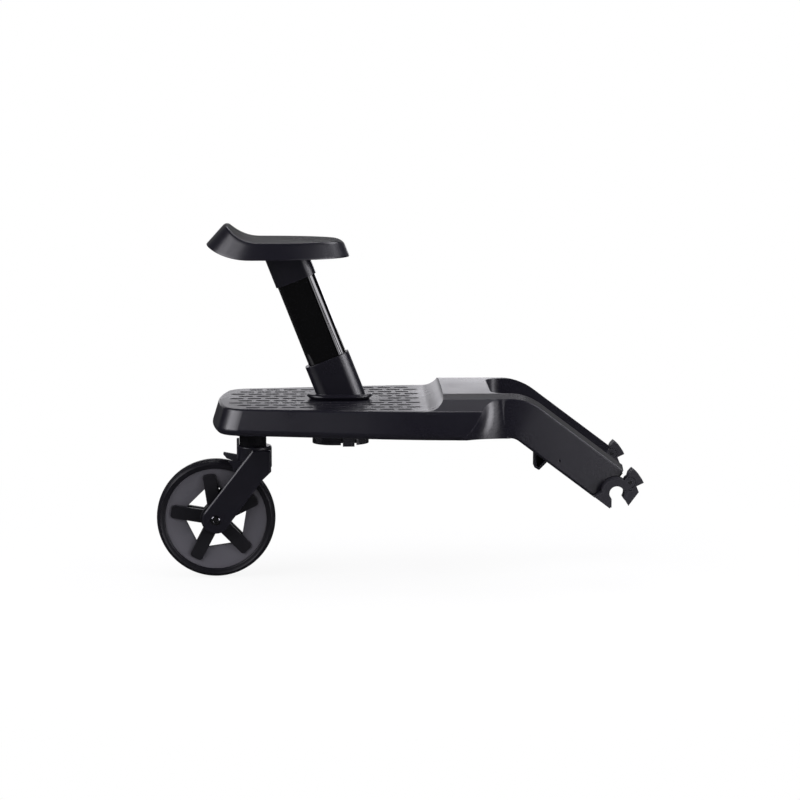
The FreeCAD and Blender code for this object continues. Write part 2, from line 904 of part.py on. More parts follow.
def arm_dimple():
    place = V(at(dimple_at), 0, dimple_z)
    depth = (place - slope_point(0, 0, 0)).dot(inward)
    place.y = arm_face(depth) - dimple_depth
    return rod(dimple_d, place, ACROSS, dimple_depth + overrun)


def post_places():
    places = []
    for x, share in ((deck_corner_at + rear_boss_in, 0.78), (deck_side_at + side_boss_in, 0.84),
                     (neck_at - boss_d / 5, 0.84)):
        half = deck_corner_half + side_slope * (x - deck_corner_at)
        for side in (-1, 1):
            places.append((at(x), side * half * share))
    return places


def deck_shell():
    root = at(arm_gap_at)
    past = clip_x + 2 * clip_boss_r
    gap = plate([(root, -arm_gap_half), (past, -arm_gap_half), (past, arm_gap_half), (root, arm_gap_half)],
                [arm_gap_r, 0, 0, arm_gap_r], 0, neck_top + overrun)
    body = tray().fuse(neck()).cut(scoop()).cut(mirrored(scoop()))
    body = body.fuse(arms().cut(gap)).removeSplitter().cut(gap)
    tray_end = at(neck_at + neck_lap)
    neck_end = at(arm_gap_at) - 2 * arm_wall
    body = body.cut(inner_plate(-deck_skin, deck_low - 1, deck_z - deck_skin, tray_end))
    half = neck_half - neck_rail
    body = body.cut(box(tray_end - 1, neck_end, -half, half, deck_low - 1, neck_z - arm_wall))
    hollow = arm_hollow(arm_wall + neck_crown, arm_depth + 1, 0, at(arm_gap_at) + 6, slope_len + 5)
    boss_hole = across_clip(2 * (clip_boss_r + cover_gap), clip_x, clip_z)
    foot = slope_box(slope_len - clip_foot_len, slope_len + clip_w, clip_root_low, 2 * arm_depth,
                     arm_gap_half - overrun, clip_outer)
    tools = [hollow, boss_hole, foot, clip_lip(cover_gap), arm_dimple()]
    for place in clip_screw_places():
        tools.append(rod(screw_d, place, ACROSS, clip_screw_len))
        tools.append(rod(screw_head_d, place, ACROSS, screw_head_h))
    for tool in tools:
        body = body.cut(tool).cut(mirrored(tool))
    for x, y in post_places():
        body = body.fuse(rod(boss_d, V(x, y, flange_seat_z), UP, deck_z - deck_skin - flange_seat_z))
    for x, y in housing_screws():
        low = flange_seat_z + housing_flange_h
        body = body.fuse(rod(boss_d, V(x, y, low), UP, deck_z - deck_skin - low))
    for x, y in post_places() + housing_screws():
        body = body.cut(rod(screw_d, V(x, y, deck_low), UP, deck_depth * 0.7))
    return body.cut(plug_mouth(deck_low, deck_z + overrun)).removeSplitter()


def underside_cover():
    top = board_cover_z + cover_thick
    tray_end = at(neck_at + neck_lap) - cover_gap
    neck_end = at(arm_gap_at) - 2 * arm_wall - cover_gap
    cover = inner_plate(-deck_skin - cover_gap, board_cover_z, top, tray_end)
    half = neck_half - neck_rail - cover_gap
    cover = cover.fuse(box(tray_end - 5, neck_end, -half, half, board_cover_z, top))
    cover = cover.cut(rod(collar_d + 2 * cover_gap, V(swivel_x, 0, 0), UP, deck_z))
    cover = cover.cut(oblong(socket_x + 2 * cover_gap, socket_w + 2 * cover_gap, socket_r, 0, deck_z, post_x))
    start = V(post_x, socket_w / 2, release_z())
    cover = cover.cut(rod(spring_boss_d + 2 * cover_gap, start, ACROSS, spring_boss_len + overrun))
    for x, y in post_places() + housing_screws():
        cover = cover.cut(rod(screw_d, V(x, y, 0), UP, deck_z))
    return cover.removeSplitter()


def cover_screws():
    pieces = []
    for x, y in post_places() + housing_screws():
        head = V(x, y, board_cover_z - screw_head_h)
        pieces.append(screw(head, UP, screw_head_h + cover_thick + cover_screw_bite))
    return Part.makeCompound(pieces)


def grip_ribs():
    pieces = []
    clear = foot_flange_x / 2 + 6
    rows = int((deck_half - rib_margin) / rib_pitch_y)
    for row in range(-rows, rows + 1):
        y = row * rib_pitch_y
        first = deck_rear_at + rib_margin + (rib_pitch_x / 2 if row % 2 else 0)
        count = int((ramp_foot_at - first) / rib_pitch_x) + 1
        for k in range(count):
            x = first + k * rib_pitch_x
            edge = deck_corner_half + side_slope * (x - deck_corner_at) - rib_margin
            in_corner = x < deck_corner_at + rib_margin and abs(y) > edge - rib_margin
            end = x + rib_len
            if abs(y) > edge or in_corner or end > ramp_foot_at - 4:
                continue
            middle = at(x + rib_len / 2)
            if ((middle - post_x) / clear) ** 2 + (y / (foot_flange_w / 2 + 5)) ** 2 < 1.15:
                continue
            pieces.append(rib(middle, y))
    return Part.makeCompound(pieces)


def rib(x, y):
    a = rib_len / 2
    b = rib_w / 2
    corners = [(x - a, y - b), (x + a, y - b), (x + a, y + b), (x - a, y + b)]
    return plate(corners, b * 0.9, deck_z, deck_z + rib_h)


def arm_cover():
    depth = arm_depth - 0.5
    cover = arm_hollow(depth - cover_thick, depth, slide_gap, at(cover_start_at), slope_len - cover_short)
    inner = arm_gap_half + arm_wall + slide_gap + lug_inset
    outer = neck_half - clip_set_in
    lug = slab(lug_outline(0), [0, lug_r, lug_r, lug_r, 0], inner, outer)
    lug = lug.cut(slab(lug_outline(lug_wall), 0, inner + lug_wall, outer + overrun))
    above = slope_box(-slope_len, slope_len, -arm_depth, depth - cover_thick / 2, 0, clip_outer)
    return cover.fuse(lug.cut(above)).removeSplitter()


def lug_outline(wall):
    rear = at(lug_at) + wall
    front = at(lug_at) + lug_len - wall
    top = lug_low_z + lug_h + wall
    return [
        (rear, top),
        (rear, lug_heel_z + wall / 2),
        (at(lug_at) + lug_toe, lug_low_z + wall * 1.4),
        (front, lug_low_z + lug_toe_h + wall / 2),
        (front, top),
    ]


# Axle clips

def jaw_pivot():
    return V(clip_x + jaw_pivot_x, 0, clip_z + jaw_pivot_z)


def around_clip(points):
    return [(clip_x + x, clip_z + z) for x, z in points]


def across_clip(d, x, z, grow=overrun):
    return rod(d, V(x, clip_inner - grow, z), ACROSS, clip_w + 2 * grow)


def clip_lip(grow):
    """Fixed lower lip of the clip, grown all round where the arm makes room for it."""
    points = [
        (-lip_half, 0),
        (-lip_half, lip_toe_h - lip_drop),
        (-lip_half - lip_toe_w, -lip_drop),
        (-lip_half - lip_heel, lip_heel_h - lip_drop),
        (-lip_half - lip_root, lip_root_h),
    ]
    corners = [V(x, clip_inner - grow, z) for x, z in around_clip(points)]
    face = Part.Face(rounded_wire(corners, [0, lip_r, lip_r, lip_r, 0]))
    if grow > 0:
        face = face.makeOffset2D(grow)
    return face.extrude(V(0, clip_w + 2 * grow, 0))


def clip_root():
    inner = arm_gap_half + arm_wall + slide_gap
    end = slope_len + clip_tail
    low = clip_root_low - cover_gap
    high = arm_wall + neck_crown + slide_gap
    side = clip_root_side
    root = slope_box(end - clip_root_len, end, high, low, inner, clip_inner - side)
    web = slope_box(end - clip_web_len, end + clip_tail, clip_web_high, low, inner, clip_inner + side)
    return root.fuse(web)


def clip_mouth():
    side = 2 * jaw_reach
    points = [(-lip_half, 0), (-lip_half, -side), (side, -side), (side, mouth_h), (clip_bore / 2, mouth_h)]
    return slab(around_clip(points), 0, clip_inner - overrun, clip_outer + overrun)


def axle_clip():
    pivot = jaw_pivot()
    body = across_clip(2 * clip_boss_r, clip_x, clip_z, 0).fuse(clip_lip(0)).fuse(clip_root())
    for y in (clip_inner, clip_outer - knuckle_w):
        body = body.fuse(rod(2 * knuckle_r, V(pivot.x, y, pivot.z), ACROSS, knuckle_w))
    body = body.cut(clip_mouth()).cut(across_clip(clip_bore, clip_x, clip_z, 0))
    room = clip_bore + 2 * axle_room
    body = body.cut(rod(room, V(clip_x, arm_gap_half, clip_z), ACROSS, clip_inner - arm_gap_half))
    eye = rod(2 * (knuckle_r + swing_gap), V(pivot.x, clip_inner + knuckle_w - cover_gap, pivot.z), ACROSS,
              clip_w - 2 * (knuckle_w - cover_gap))
    body = body.cut(eye).cut(across_clip(jaw_pin_d, pivot.x, pivot.z))
    for place in clip_screw_places():
        body = body.cut(rod(screw_d, place, ACROSS, clip_screw_len))
    return body.removeSplitter()


def jaw_clear():
    """Room round the fixed boss, kept out of the moving jaw over its swing."""
    side = 2 * jaw_reach
    top = clip_z + mouth_h - swing_gap
    keep = box(clip_x - side, clip_x + side, clip_inner, clip_outer, clip_z - side, top)
    return across_clip(2 * (clip_boss_r + swing_gap), clip_x, clip_z).cut(keep)


def clip_jaw():
    low = math.radians(jaw_low_angle)
    high = math.radians(jaw_high_angle)
    mid = (low + high) / 2
    def crown(a):
        return V(clip_x + jaw_reach * math.cos(a), 0, clip_z + jaw_reach * math.sin(a))
    rest = [V(x, 0, z) for x, z in around_clip(jaw_outline)]
    edges = [Part.Arc(crown(high), crown(mid), crown(low)).toShape(), Part.makeLine(crown(low), rest[0])]
    for p, q in zip(rest, rest[1:]):
        edges.append(Part.makeLine(p, q))
    edges.append(Part.makeLine(rest[-1], crown(high)))
    jaw = Part.Face(Part.Wire(edges)).extrude(V(0, clip_w, 0))
    jaw.translate(V(0, clip_inner, 0))
    pivot = jaw_pivot()
    jaw = jaw.cut(jaw_clear().cut(across_clip(2 * knuckle_r, pivot.x, pivot.z)))
    jaw = jaw.cut(across_clip(clip_bore + 2 * swing_gap, clip_x, clip_z))
    eye_w = knuckle_w + face_gap
    for y in (clip_inner, clip_outer - eye_w):
        jaw = jaw.cut(rod(2 * (knuckle_r + swing_gap), V(pivot.x, y, pivot.z), ACROSS, eye_w))
    start = V(pivot.x, clip_inner + knuckle_w, pivot.z)
    jaw = jaw.cut(rod(2 * knuckle_r, start, ACROSS, jaw_spring_w + jaw_spring_room))
    return jaw.cut(across_clip(jaw_pin_d + 2 * bore_gap, pivot.x, pivot.z)).removeSplitter()


def jaw_pin():
    pivot = jaw_pivot()
    return rod(jaw_pin_d, V(pivot.x, clip_inner, pivot.z), ACROSS, clip_w)


def jaw_spring():
    pivot = jaw_pivot()
    start = V(pivot.x, clip_inner + knuckle_w + spring_wire / 2 + cover_gap, pivot.z)
    return coil((jaw_pin_d + spring_wire) / 2 + cover_gap, spring_wire, jaw_spring_w, jaw_spring_turns, start)


def clip_screw_places():
    last = slope_len - clip_screw_inset
    return [slope_point(t, clip_web_high, arm_gap_half) for t in (last - clip_screw_pitch, last)]


def clip_screws():
    pieces = []
    for place in clip_screw_places():
        for side in (1, -1):
            pieces.append(screw(V(place.x, side * arm_gap_half, place.z), ACROSS * side, clip_screw_len))
    return Part.makeCompound(pieces)


# Seat post

def leaning(length, width, r, s0, s1, back=0):
    rear = -length / 2 - back
    front = length / 2 - back
    b = width / 2
    corners = [V(rear, -b, s0), V(front, -b, s0), V(front, b, s0), V(rear, b, s0)]
    solid = Part.Face(rounded_wire(corners, r)).extrude(V(0, 0, s1 - s0))
    solid.rotate(V(0, 0, 0), ACROSS, -post_lean)
    solid.translate(post_foot)
    return solid


def post_reach(z):
    return (z - post_foot.z) / math.cos(lean)


def post_tube():
    s1 = upper_sleeve_foot + sleeve_grip
    s0 = lower_sleeve_top - sleeve_grip
    outer = leaning(tube_len_x, tube_w, tube_r, s0, s1)
    inner = leaning(tube_len_x - 2 * tube_wall, tube_w - 2 * tube_wall, tube_r - tube_wall, s0, s1)
    return outer.cut(inner)


def tube_bore(s0, s1):
    return leaning(tube_len_x + 2 * bore_gap, tube_w + 2 * bore_gap, tube_r, s0, s1)


def lower_sleeve():
    flange_low = deck_z + bore_gap
    flange_top = deck_z + foot_flange_h
    wall = (lower_sleeve_x - tube_len_x) / 2
    sleeve = leaning(lower_sleeve_x, lower_sleeve_w, tube_r + wall, -foot_flange_x / 2, lower_sleeve_top,
                     lower_sleeve_back)
    side = foot_flange_x
    sleeve = sleeve.cut(box(post_x - side, post_x + side, -side, side, flange_low - side, flange_low))
    middle = post_x - foot_flange_back
    flange = oblong(foot_flange_x, foot_flange_w, foot_flange_r, flange_low, flange_top, middle)
    rim = [e for e in flange.Edges if abs(e.BoundBox.ZMin - flange_top) < 0.01]
    flange = flange.makeFillet(foot_flange_h * 0.4, rim)
    body = sleeve.fuse(flange).cut(tube_bore(lower_sleeve_top - sleeve_grip, lower_sleeve_top + overrun))
    for x in plug_screws():
        body = body.cut(rod(screw_d, V(x, 0, flange_low), UP, post_screw_len - plug_head + overrun))
    return body.removeSplitter()


def plug_screws():
    return [post_x - plug_x / 4, post_x + plug_x / 4]


def post_plug():
    top = deck_z + bore_gap
    low = deck_z - plug_drop
    plug = oblong(plug_x, plug_w, plug_r, low, top, post_x)
    wall = 2 * plug_wall
    plug = plug.cut(oblong(plug_x - wall, plug_w - wall, plug_r - plug_wall, low, top - plug_head, post_x))
    half = plug_nose_w / 2
    deep = plug_w / 2 - plug_groove
    plug = plug.cut(box(post_x - half, post_x + half, deep, plug_w, low - overrun, release_z() + frame_h))
    for x in plug_screws():
        plug = plug.cut(rod(screw_d, V(x, 0, top - plug_head - overrun), UP, plug_head + overrun))
    return plug.removeSplitter()


def post_screws():
    head_z = deck_z + bore_gap - plug_head - screw_head_h
    pieces = [screw(V(x, 0, head_z), UP, post_screw_len) for x in plug_screws()]
    return Part.makeCompound(pieces)


def seat_ring(rear_at, wide_at, nose_at, half, z):
    """Plan of the saddle at one height: two half ellipses that meet where it is widest."""
    edges = []
    for end_at in (rear_at, nose_at):
        side = 1 if end_at > wide_at else -1
        arc = Part.Arc(V(0, -1, 0), V(side, 0, 0), V(0, 1, 0)).toShape()
        stretch = FreeCAD.Matrix()
        stretch.scale(V(abs(end_at - wide_at), half, 1))
        stretch.move(V(at(wide_at), 0, z))
        edges.append(arc.transformGeometry(stretch))
    return Part.Wire(Part.__sortEdges__(edges))


def seat_profile(inset):
    """Side view of the saddle: raised tail lip, level pan and a rounded nose."""
    tail = V(at(-seat_tail_over), 0, seat_tail_z + inset)
    heel = V(at(seat_heel_at), 0, seat_low_z)
    nose = V(at(seat_foot_nose_at) - inset, 0, seat_low_z)
    brow = V(at(seat_brow_at), 0, seat_pan_z - inset)
    pan = V(at(seat_pan_at), 0, seat_pan_z - inset)
    lip = V(at(seat_lip_at), 0, seat_lip_z - inset)
    lip_rear = V(at(-seat_tail_over), 0, seat_lip_z - inset)
    edges = [
        Part.makeLine(nose, heel),
        tangent_arc(heel, V(-1, 0, 0), tail),
        Part.makeLine(tail, lip_rear),
        Part.makeLine(lip_rear, lip),
        tangent_arc(pan, V(-1, 0, 0), lip),
        Part.makeLine(pan, brow),
        tangent_arc(brow, V(1, 0, 0), nose),
    ]
    side = Part.Face(Part.Wire(Part.__sortEdges__(edges))).extrude(V(0, 4 * seat_foot_half, 0))
    side.translate(V(0, -2 * seat_foot_half, 0))
    return side


def seat_form(inset):
    """Flared plan of the saddle cut to its side profile, drawn in by the inset where a hollow is wanted."""
    foot = seat_ring(inset - seat_foot_over, seat_foot_wide_at, seat_foot_nose_at - inset,
                     seat_foot_half - inset, seat_low_z - seat_skin)
    top = seat_ring(seat_top_rear_at + inset, seat_top_wide_at, seat_top_nose_at - inset,
                    seat_top_half - inset, seat_lip_z + seat_skin)
    return Part.makeLoft([foot, top], True, True).common(seat_profile(inset))


def seat_shell():
    return seat_form(0).cut(seat_form(seat_skin)).removeSplitter()


def seat_base():
    floor = seat_form(seat_skin + cover_gap)
    top = seat_low_z + seat_base_h
    half = seat_foot_half
    floor = floor.common(box(at(seat_heel_at), at(seat_foot_nose_at), -half, half, seat_low_z, top))
    wall = (upper_sleeve_x - tube_len_x) / 2
    floor = floor.cut(leaning(upper_sleeve_x + 2 * cover_gap, upper_sleeve_w + 2 * cover_gap, tube_r + wall,
                              upper_sleeve_foot, post_reach(seat_lip_z)))
    for x, y in seat_screw_places():
        floor = floor.cut(rod(screw_d, V(x, y, seat_low_z - overrun), UP, seat_base_h + 2 * overrun))
    return floor.removeSplitter()


def seat_middle():
    return post_foot.x - (seat_low_z - post_foot.z) * math.tan(lean)


def seat_screw_places():
    reach = upper_sleeve_x / 2 + seat_screw_rim
    across = upper_sleeve_w / 2
    return [(seat_middle() + i * reach, j * across) for i in (-1, 1) for j in (-1, 1)]


def upper_sleeve():
    flange_low = seat_low_z + seat_base_h
    flange_top = flange_low + seat_flange_h
    wall = (upper_sleeve_x - tube_len_x) / 2
    top = post_reach(flange_top) + upper_sleeve_x / 2
    sleeve = leaning(upper_sleeve_x, upper_sleeve_w, tube_r + wall, upper_sleeve_foot, top)
    half = seat_foot_half
    x = seat_middle()
    sleeve = sleeve.cut(box(x - 2 * half, x + 2 * half, -half, half, flange_top, flange_top + half))
    flange = oblong(upper_sleeve_x + 2 * seat_flange_rim, upper_sleeve_w + seat_flange_rim, seat_flange_r,
                    flange_low, flange_top, x)
    body = sleeve.fuse(flange)
    body = body.cut(tube_bore(upper_sleeve_foot - overrun, upper_sleeve_foot + sleeve_grip))
    for x, y in seat_screw_places():
        body = body.cut(rod(screw_d, V(x, y, seat_low_z), UP, seat_base_h + seat_flange_h + overrun))
    return body.removeSplitter()


def seat_screws():
    pieces = []
    length = screw_head_h + seat_base_h + seat_flange_h
    for x, y in seat_screw_places():
        pieces.append(screw(V(x, y, seat_low_z - screw_head_h), UP, length))
    return Part.makeCompound(pieces)


# Seat socket and release

def release_z():
    return socket_low_z + cap_h + face_gap


def tab_x():
    return post_x + tab_at


def slits(z0, z1):
    pieces = []
    for side in (-1, 1):
        x = tab_x() + side * (tab_w / 2 + slit_w / 2)
        pieces.append(box(x - slit_w / 2, x + slit_w / 2, -socket_w, -plug_w / 2, z0, z1))
    half = tab_w / 2 + slide_gap
    pieces.append(box(tab_x() - half, tab_x() + half, -socket_w, -plug_w / 2, z0, z1))
    return Part.makeCompound(pieces)


def seat_socket():
    top = deck_z - deck_skin
    low = socket_low_z + cap_h
    body = oblong(socket_x, socket_w, socket_r, low, top, post_x)
    rim = 2 * socket_flange_rim
    body = body.fuse(oblong(socket_x + rim, socket_w + rim, socket_r, top - socket_flange_h, top, post_x))
    spring_z = release_z() + frame_h / 2
    start = V(post_x, frame_far, spring_z)
    boss = rod(spring_boss_d, start, ACROSS, spring_end() + spring_boss_wall - frame_far)
    d = spring_boss_d
    body = body.fuse(boss.cut(box(post_x - d, post_x + d, 0, socket_w, low - d, low)))
    pocket_y = frame_far + release_stroke + cover_gap
    pocket = box(post_x - frame_half_x - slide_gap, post_x + frame_half_x + slide_gap,
                 -frame_near - slide_gap, pocket_y, low - overrun, release_z() + frame_h + face_gap)
    body = body.cut(pocket).cut(plug_mouth(low - overrun, top + overrun))
    body = body.cut(slits(low - overrun, low + tab_h + overrun))
    bore = rod(release_spring_d + 2 * swing_gap, start, ACROSS, spring_end() - frame_far)
    return body.cut(bore).removeSplitter()


def plug_mouth(z0, z1):
    return oblong(plug_x + 2 * slide_gap, plug_w + 2 * slide_gap, plug_r, z0, z1, post_x)


def spring_end():
    return socket_w / 2 + spring_boss_len - spring_boss_wall


def socket_cap():
    cap = oblong(socket_x, socket_w, socket_r, socket_low_z, socket_low_z + cap_h, post_x)
    cap = cap.cut(oblong(plug_x + overrun, plug_w + overrun, plug_r, 0, deck_z, post_x))
    return cap.cut(slits(0, deck_z)).removeSplitter()


def seat_release():
    low = release_z()
    top = low + frame_h
    outer = box(post_x - frame_half_x, post_x + frame_half_x, -frame_near, frame_far, low, top)
    hole = box(post_x - frame_half_x + frame_bar, post_x + frame_half_x - frame_bar,
               -frame_near + frame_bar, plug_w / 2 + cover_gap, low - overrun, top + overrun)
    nose_half = plug_nose_w / 2 - cover_gap
    nose_y = plug_w / 2 - plug_groove + cover_gap
    nose = box(post_x - nose_half, post_x + nose_half, nose_y, frame_far, low, top)
    tab_low = socket_low_z - tab_drop
    tab = box(tab_x() - tab_w / 2, tab_x() + tab_w / 2, -socket_w / 2 - tab_proud, -frame_near + frame_bar,
              tab_low, tab_low + tab_h)
    return outer.cut(hole).fuse(nose).fuse(tab).removeSplitter()


def release_spring():
    start = V(post_x, frame_far + spring_wire / 2 + cover_gap, release_z() + frame_h / 2)
    length = spring_end() - start.y - spring_wire / 2 - cover_gap
    return coil((release_spring_d - spring_wire) / 2, spring_wire, length, release_spring_turns, start)


def all_pieces():
    return {
        "deck_shell": deck_shell(),
        "grip_ribs": grip_ribs(),
        "underside_cover": underside_cover(),
        "cover_screws": cover_screws(),
        "left_arm_cover": arm_cover(),
        "right_arm_cover": mirrored(arm_cover()),
        "left_axle_clip": axle_clip(),
        "right_axle_clip": mirrored(axle_clip()),
        "left_clip_jaw": clip_jaw(),
        "right_clip_jaw": mirrored(clip_jaw()),
        "left_jaw_pin": jaw_pin(),
        "right_jaw_pin": mirrored(jaw_pin()),
        "left_jaw_spring": jaw_spring(),
        "right_jaw_spring": mirrored(jaw_spring()),
        "clip_screws": clip_screws(),
        "tyre": tyre(),
        "rim_ring": rim_ring(),
        "left_rim_disc": rim_disc(),
        "right_rim_disc": mirrored(rim_disc()),
        "wheel_star": wheel_star(),
        "left_wheel_bearing": wheel_bearing(1),
        "right_wheel_bearing": wheel_bearing(-1),
        "bearing_spacer": bearing_spacer(),
        "axle_spacers": axle_spacers(),
        "axle_bolt": axle_bolt(),
        "axle_nut": axle_nut(),
        "caster_fork": caster_fork(),
        "kingpin": kingpin(),
        "kingpin_circlip": kingpin_circlip(),
        "thrust_washer": thrust_washer(),
        "lower_swivel_bush": swivel_bush(housing_low + bush_flange, UP),
        "upper_swivel_bush": swivel_bush(pin_top_z, V(0, 0, -1)),
        "caster_housing": caster_housing(),
        "swivel_lock": swivel_lock(),
        "lock_detent": lock_detent(),
        "seat_socket": seat_socket(),
        "socket_cap": socket_cap(),
        "seat_release": seat_release(),
        "release_spring": release_spring(),
        "post_plug": post_plug(),
        "post_screws": post_screws(),
        "lower_sleeve": lower_sleeve(),
        "post_tube": post_tube(),
        "upper_sleeve": upper_sleeve(),
        "seat_base": seat_base(),
        "seat_shell": seat_shell(),
        "seat_screws": seat_screws(),
    }


for name, shape in all_pieces().items():
    state = "valid" if shape.isValid() else "not valid"
    print(name, len(shape.Solids), state, round(shape.Volume / 1000, 2))
    shape.exportStep("parts/" + name + ".step")
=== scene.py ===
import json
import math
import bpy
import bmesh
from mathutils import Matrix, Vector


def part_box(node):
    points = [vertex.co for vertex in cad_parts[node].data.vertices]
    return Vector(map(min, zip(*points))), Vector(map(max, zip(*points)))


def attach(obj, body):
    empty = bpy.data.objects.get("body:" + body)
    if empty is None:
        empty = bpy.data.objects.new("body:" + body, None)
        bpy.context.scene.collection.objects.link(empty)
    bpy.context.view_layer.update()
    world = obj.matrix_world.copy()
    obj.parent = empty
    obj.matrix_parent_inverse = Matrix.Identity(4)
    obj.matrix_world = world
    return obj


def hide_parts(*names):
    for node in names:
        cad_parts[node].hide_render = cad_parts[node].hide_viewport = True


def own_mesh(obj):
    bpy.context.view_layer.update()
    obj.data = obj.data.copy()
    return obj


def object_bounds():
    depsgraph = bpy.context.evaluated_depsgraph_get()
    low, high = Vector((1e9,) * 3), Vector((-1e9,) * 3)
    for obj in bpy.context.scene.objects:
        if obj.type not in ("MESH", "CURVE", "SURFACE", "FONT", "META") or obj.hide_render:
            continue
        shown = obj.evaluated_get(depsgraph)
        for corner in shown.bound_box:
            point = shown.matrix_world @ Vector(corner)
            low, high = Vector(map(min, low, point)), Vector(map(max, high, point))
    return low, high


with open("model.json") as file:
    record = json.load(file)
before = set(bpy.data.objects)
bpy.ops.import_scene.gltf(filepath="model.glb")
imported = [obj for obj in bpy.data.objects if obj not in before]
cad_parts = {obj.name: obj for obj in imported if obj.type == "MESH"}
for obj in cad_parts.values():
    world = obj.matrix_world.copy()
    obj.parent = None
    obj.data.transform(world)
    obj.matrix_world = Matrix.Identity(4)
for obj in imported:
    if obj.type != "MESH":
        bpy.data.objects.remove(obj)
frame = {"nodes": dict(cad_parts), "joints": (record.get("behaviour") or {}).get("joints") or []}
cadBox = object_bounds()
cadNodes = frame["nodes"]
axle = next(Vector(j["pos_m"]) for j in frame["joints"] if j["name"] == "wheel_spin")
mm = 0.001
mergeWithin = 0.01 * mm  # joins the loose triangles of the solids


# small helpers

def fromAxle(x, y, z):
    return Vector((axle.x + x * mm, y * mm, z * mm))


def put(tree, kind, inputs=None, **settings):
    made = tree.nodes.new(kind)
    for key, value in settings.items():
        setattr(made, key, value)
    for key, value in (inputs or {}).items():
        made.inputs[key].default_value = value
    return made


def join(tree, source, target):
    tree.links.new(source, target)


def addPiece(name, mesh):
    piece = bpy.data.objects.new(name, mesh)
    bpy.context.scene.collection.objects.link(piece)
    return piece


def meshOf(name, bm):
    mesh = bpy.data.meshes.new(name)
    bm.to_mesh(mesh)
    bm.free()
    return mesh


def shadeSmooth(mesh):
    mesh.polygons.foreach_set("use_smooth", [True] * len(mesh.polygons))
    mesh.update()


def mergedCopy(nodeName):
    bm = bmesh.new()
    bm.from_mesh(cadNodes[nodeName].data)
    bmesh.ops.remove_doubles(bm, verts=bm.verts, dist=mergeWithin)
    return bm


def markSharp(bm, degrees):
    for edge in bm.edges:
        edge.smooth = edge.calc_face_angle(0) < math.radians(degrees)


def aroundAxle(r, y, angle):
    return axle.x + r * mm * math.sin(angle), y * mm, axle.z + r * mm * math.cos(angle)


def islandBoxes(nodeName):
    # the box of each separate solid in a node
    bm = mergedCopy(nodeName)
    seen = set()
    boxes = []
    for start in bm.verts:
        if start in seen:
            continue
        group = []
        queue = [start]
        seen.add(start)
        while queue:
            vert = queue.pop()
            group.append(vert.co.copy())
            for edge in vert.link_edges:
                other = edge.other_vert(vert)
                if other not in seen:
                    seen.add(other)
                    queue.append(other)
        low = Vector([min(p[i] for p in group) for i in range(3)])
        high = Vector([max(p[i] for p in group) for i in range(3)])
        boxes.append((low, high))
    bm.free()
    return boxes


# finishes: what is alike in all of them, then each one's own look

surface = {
    "edgeFrom": 0.995, "edgeFull": 0.8,  # cosines of the turn at an edge
    "edgeSamples": 4, "driftDetail": 3.0, "driftRoughness": 0.6, "grainDetail": 2.0, "grainRoughness": 0.55,
    "grainShare": 0.35, "shineFrom": 0.4, "shineTo": 0.95, "coatRoughness": 0.05,
}


def edgeMask(tree, radius):
    soft = put(tree, "ShaderNodeBevel", {"Radius": radius}, samples=surface["edgeSamples"])
    flat = put(tree, "ShaderNodeNewGeometry")
    dot = put(tree, "ShaderNodeVectorMath", operation="DOT_PRODUCT")
    join(tree, soft.outputs["Normal"], dot.inputs[0])
    join(tree, flat.outputs["Normal"], dot.inputs[1])
    mask = put(tree, "ShaderNodeMapRange", {
        "From Min": surface["edgeFrom"], "From Max": surface["edgeFull"], "To Min": 0.0, "To Max": 1.0})
    join(tree, dot.outputs["Value"], mask.inputs["Value"])
    return soft.outputs["Normal"], mask.outputs["Result"]


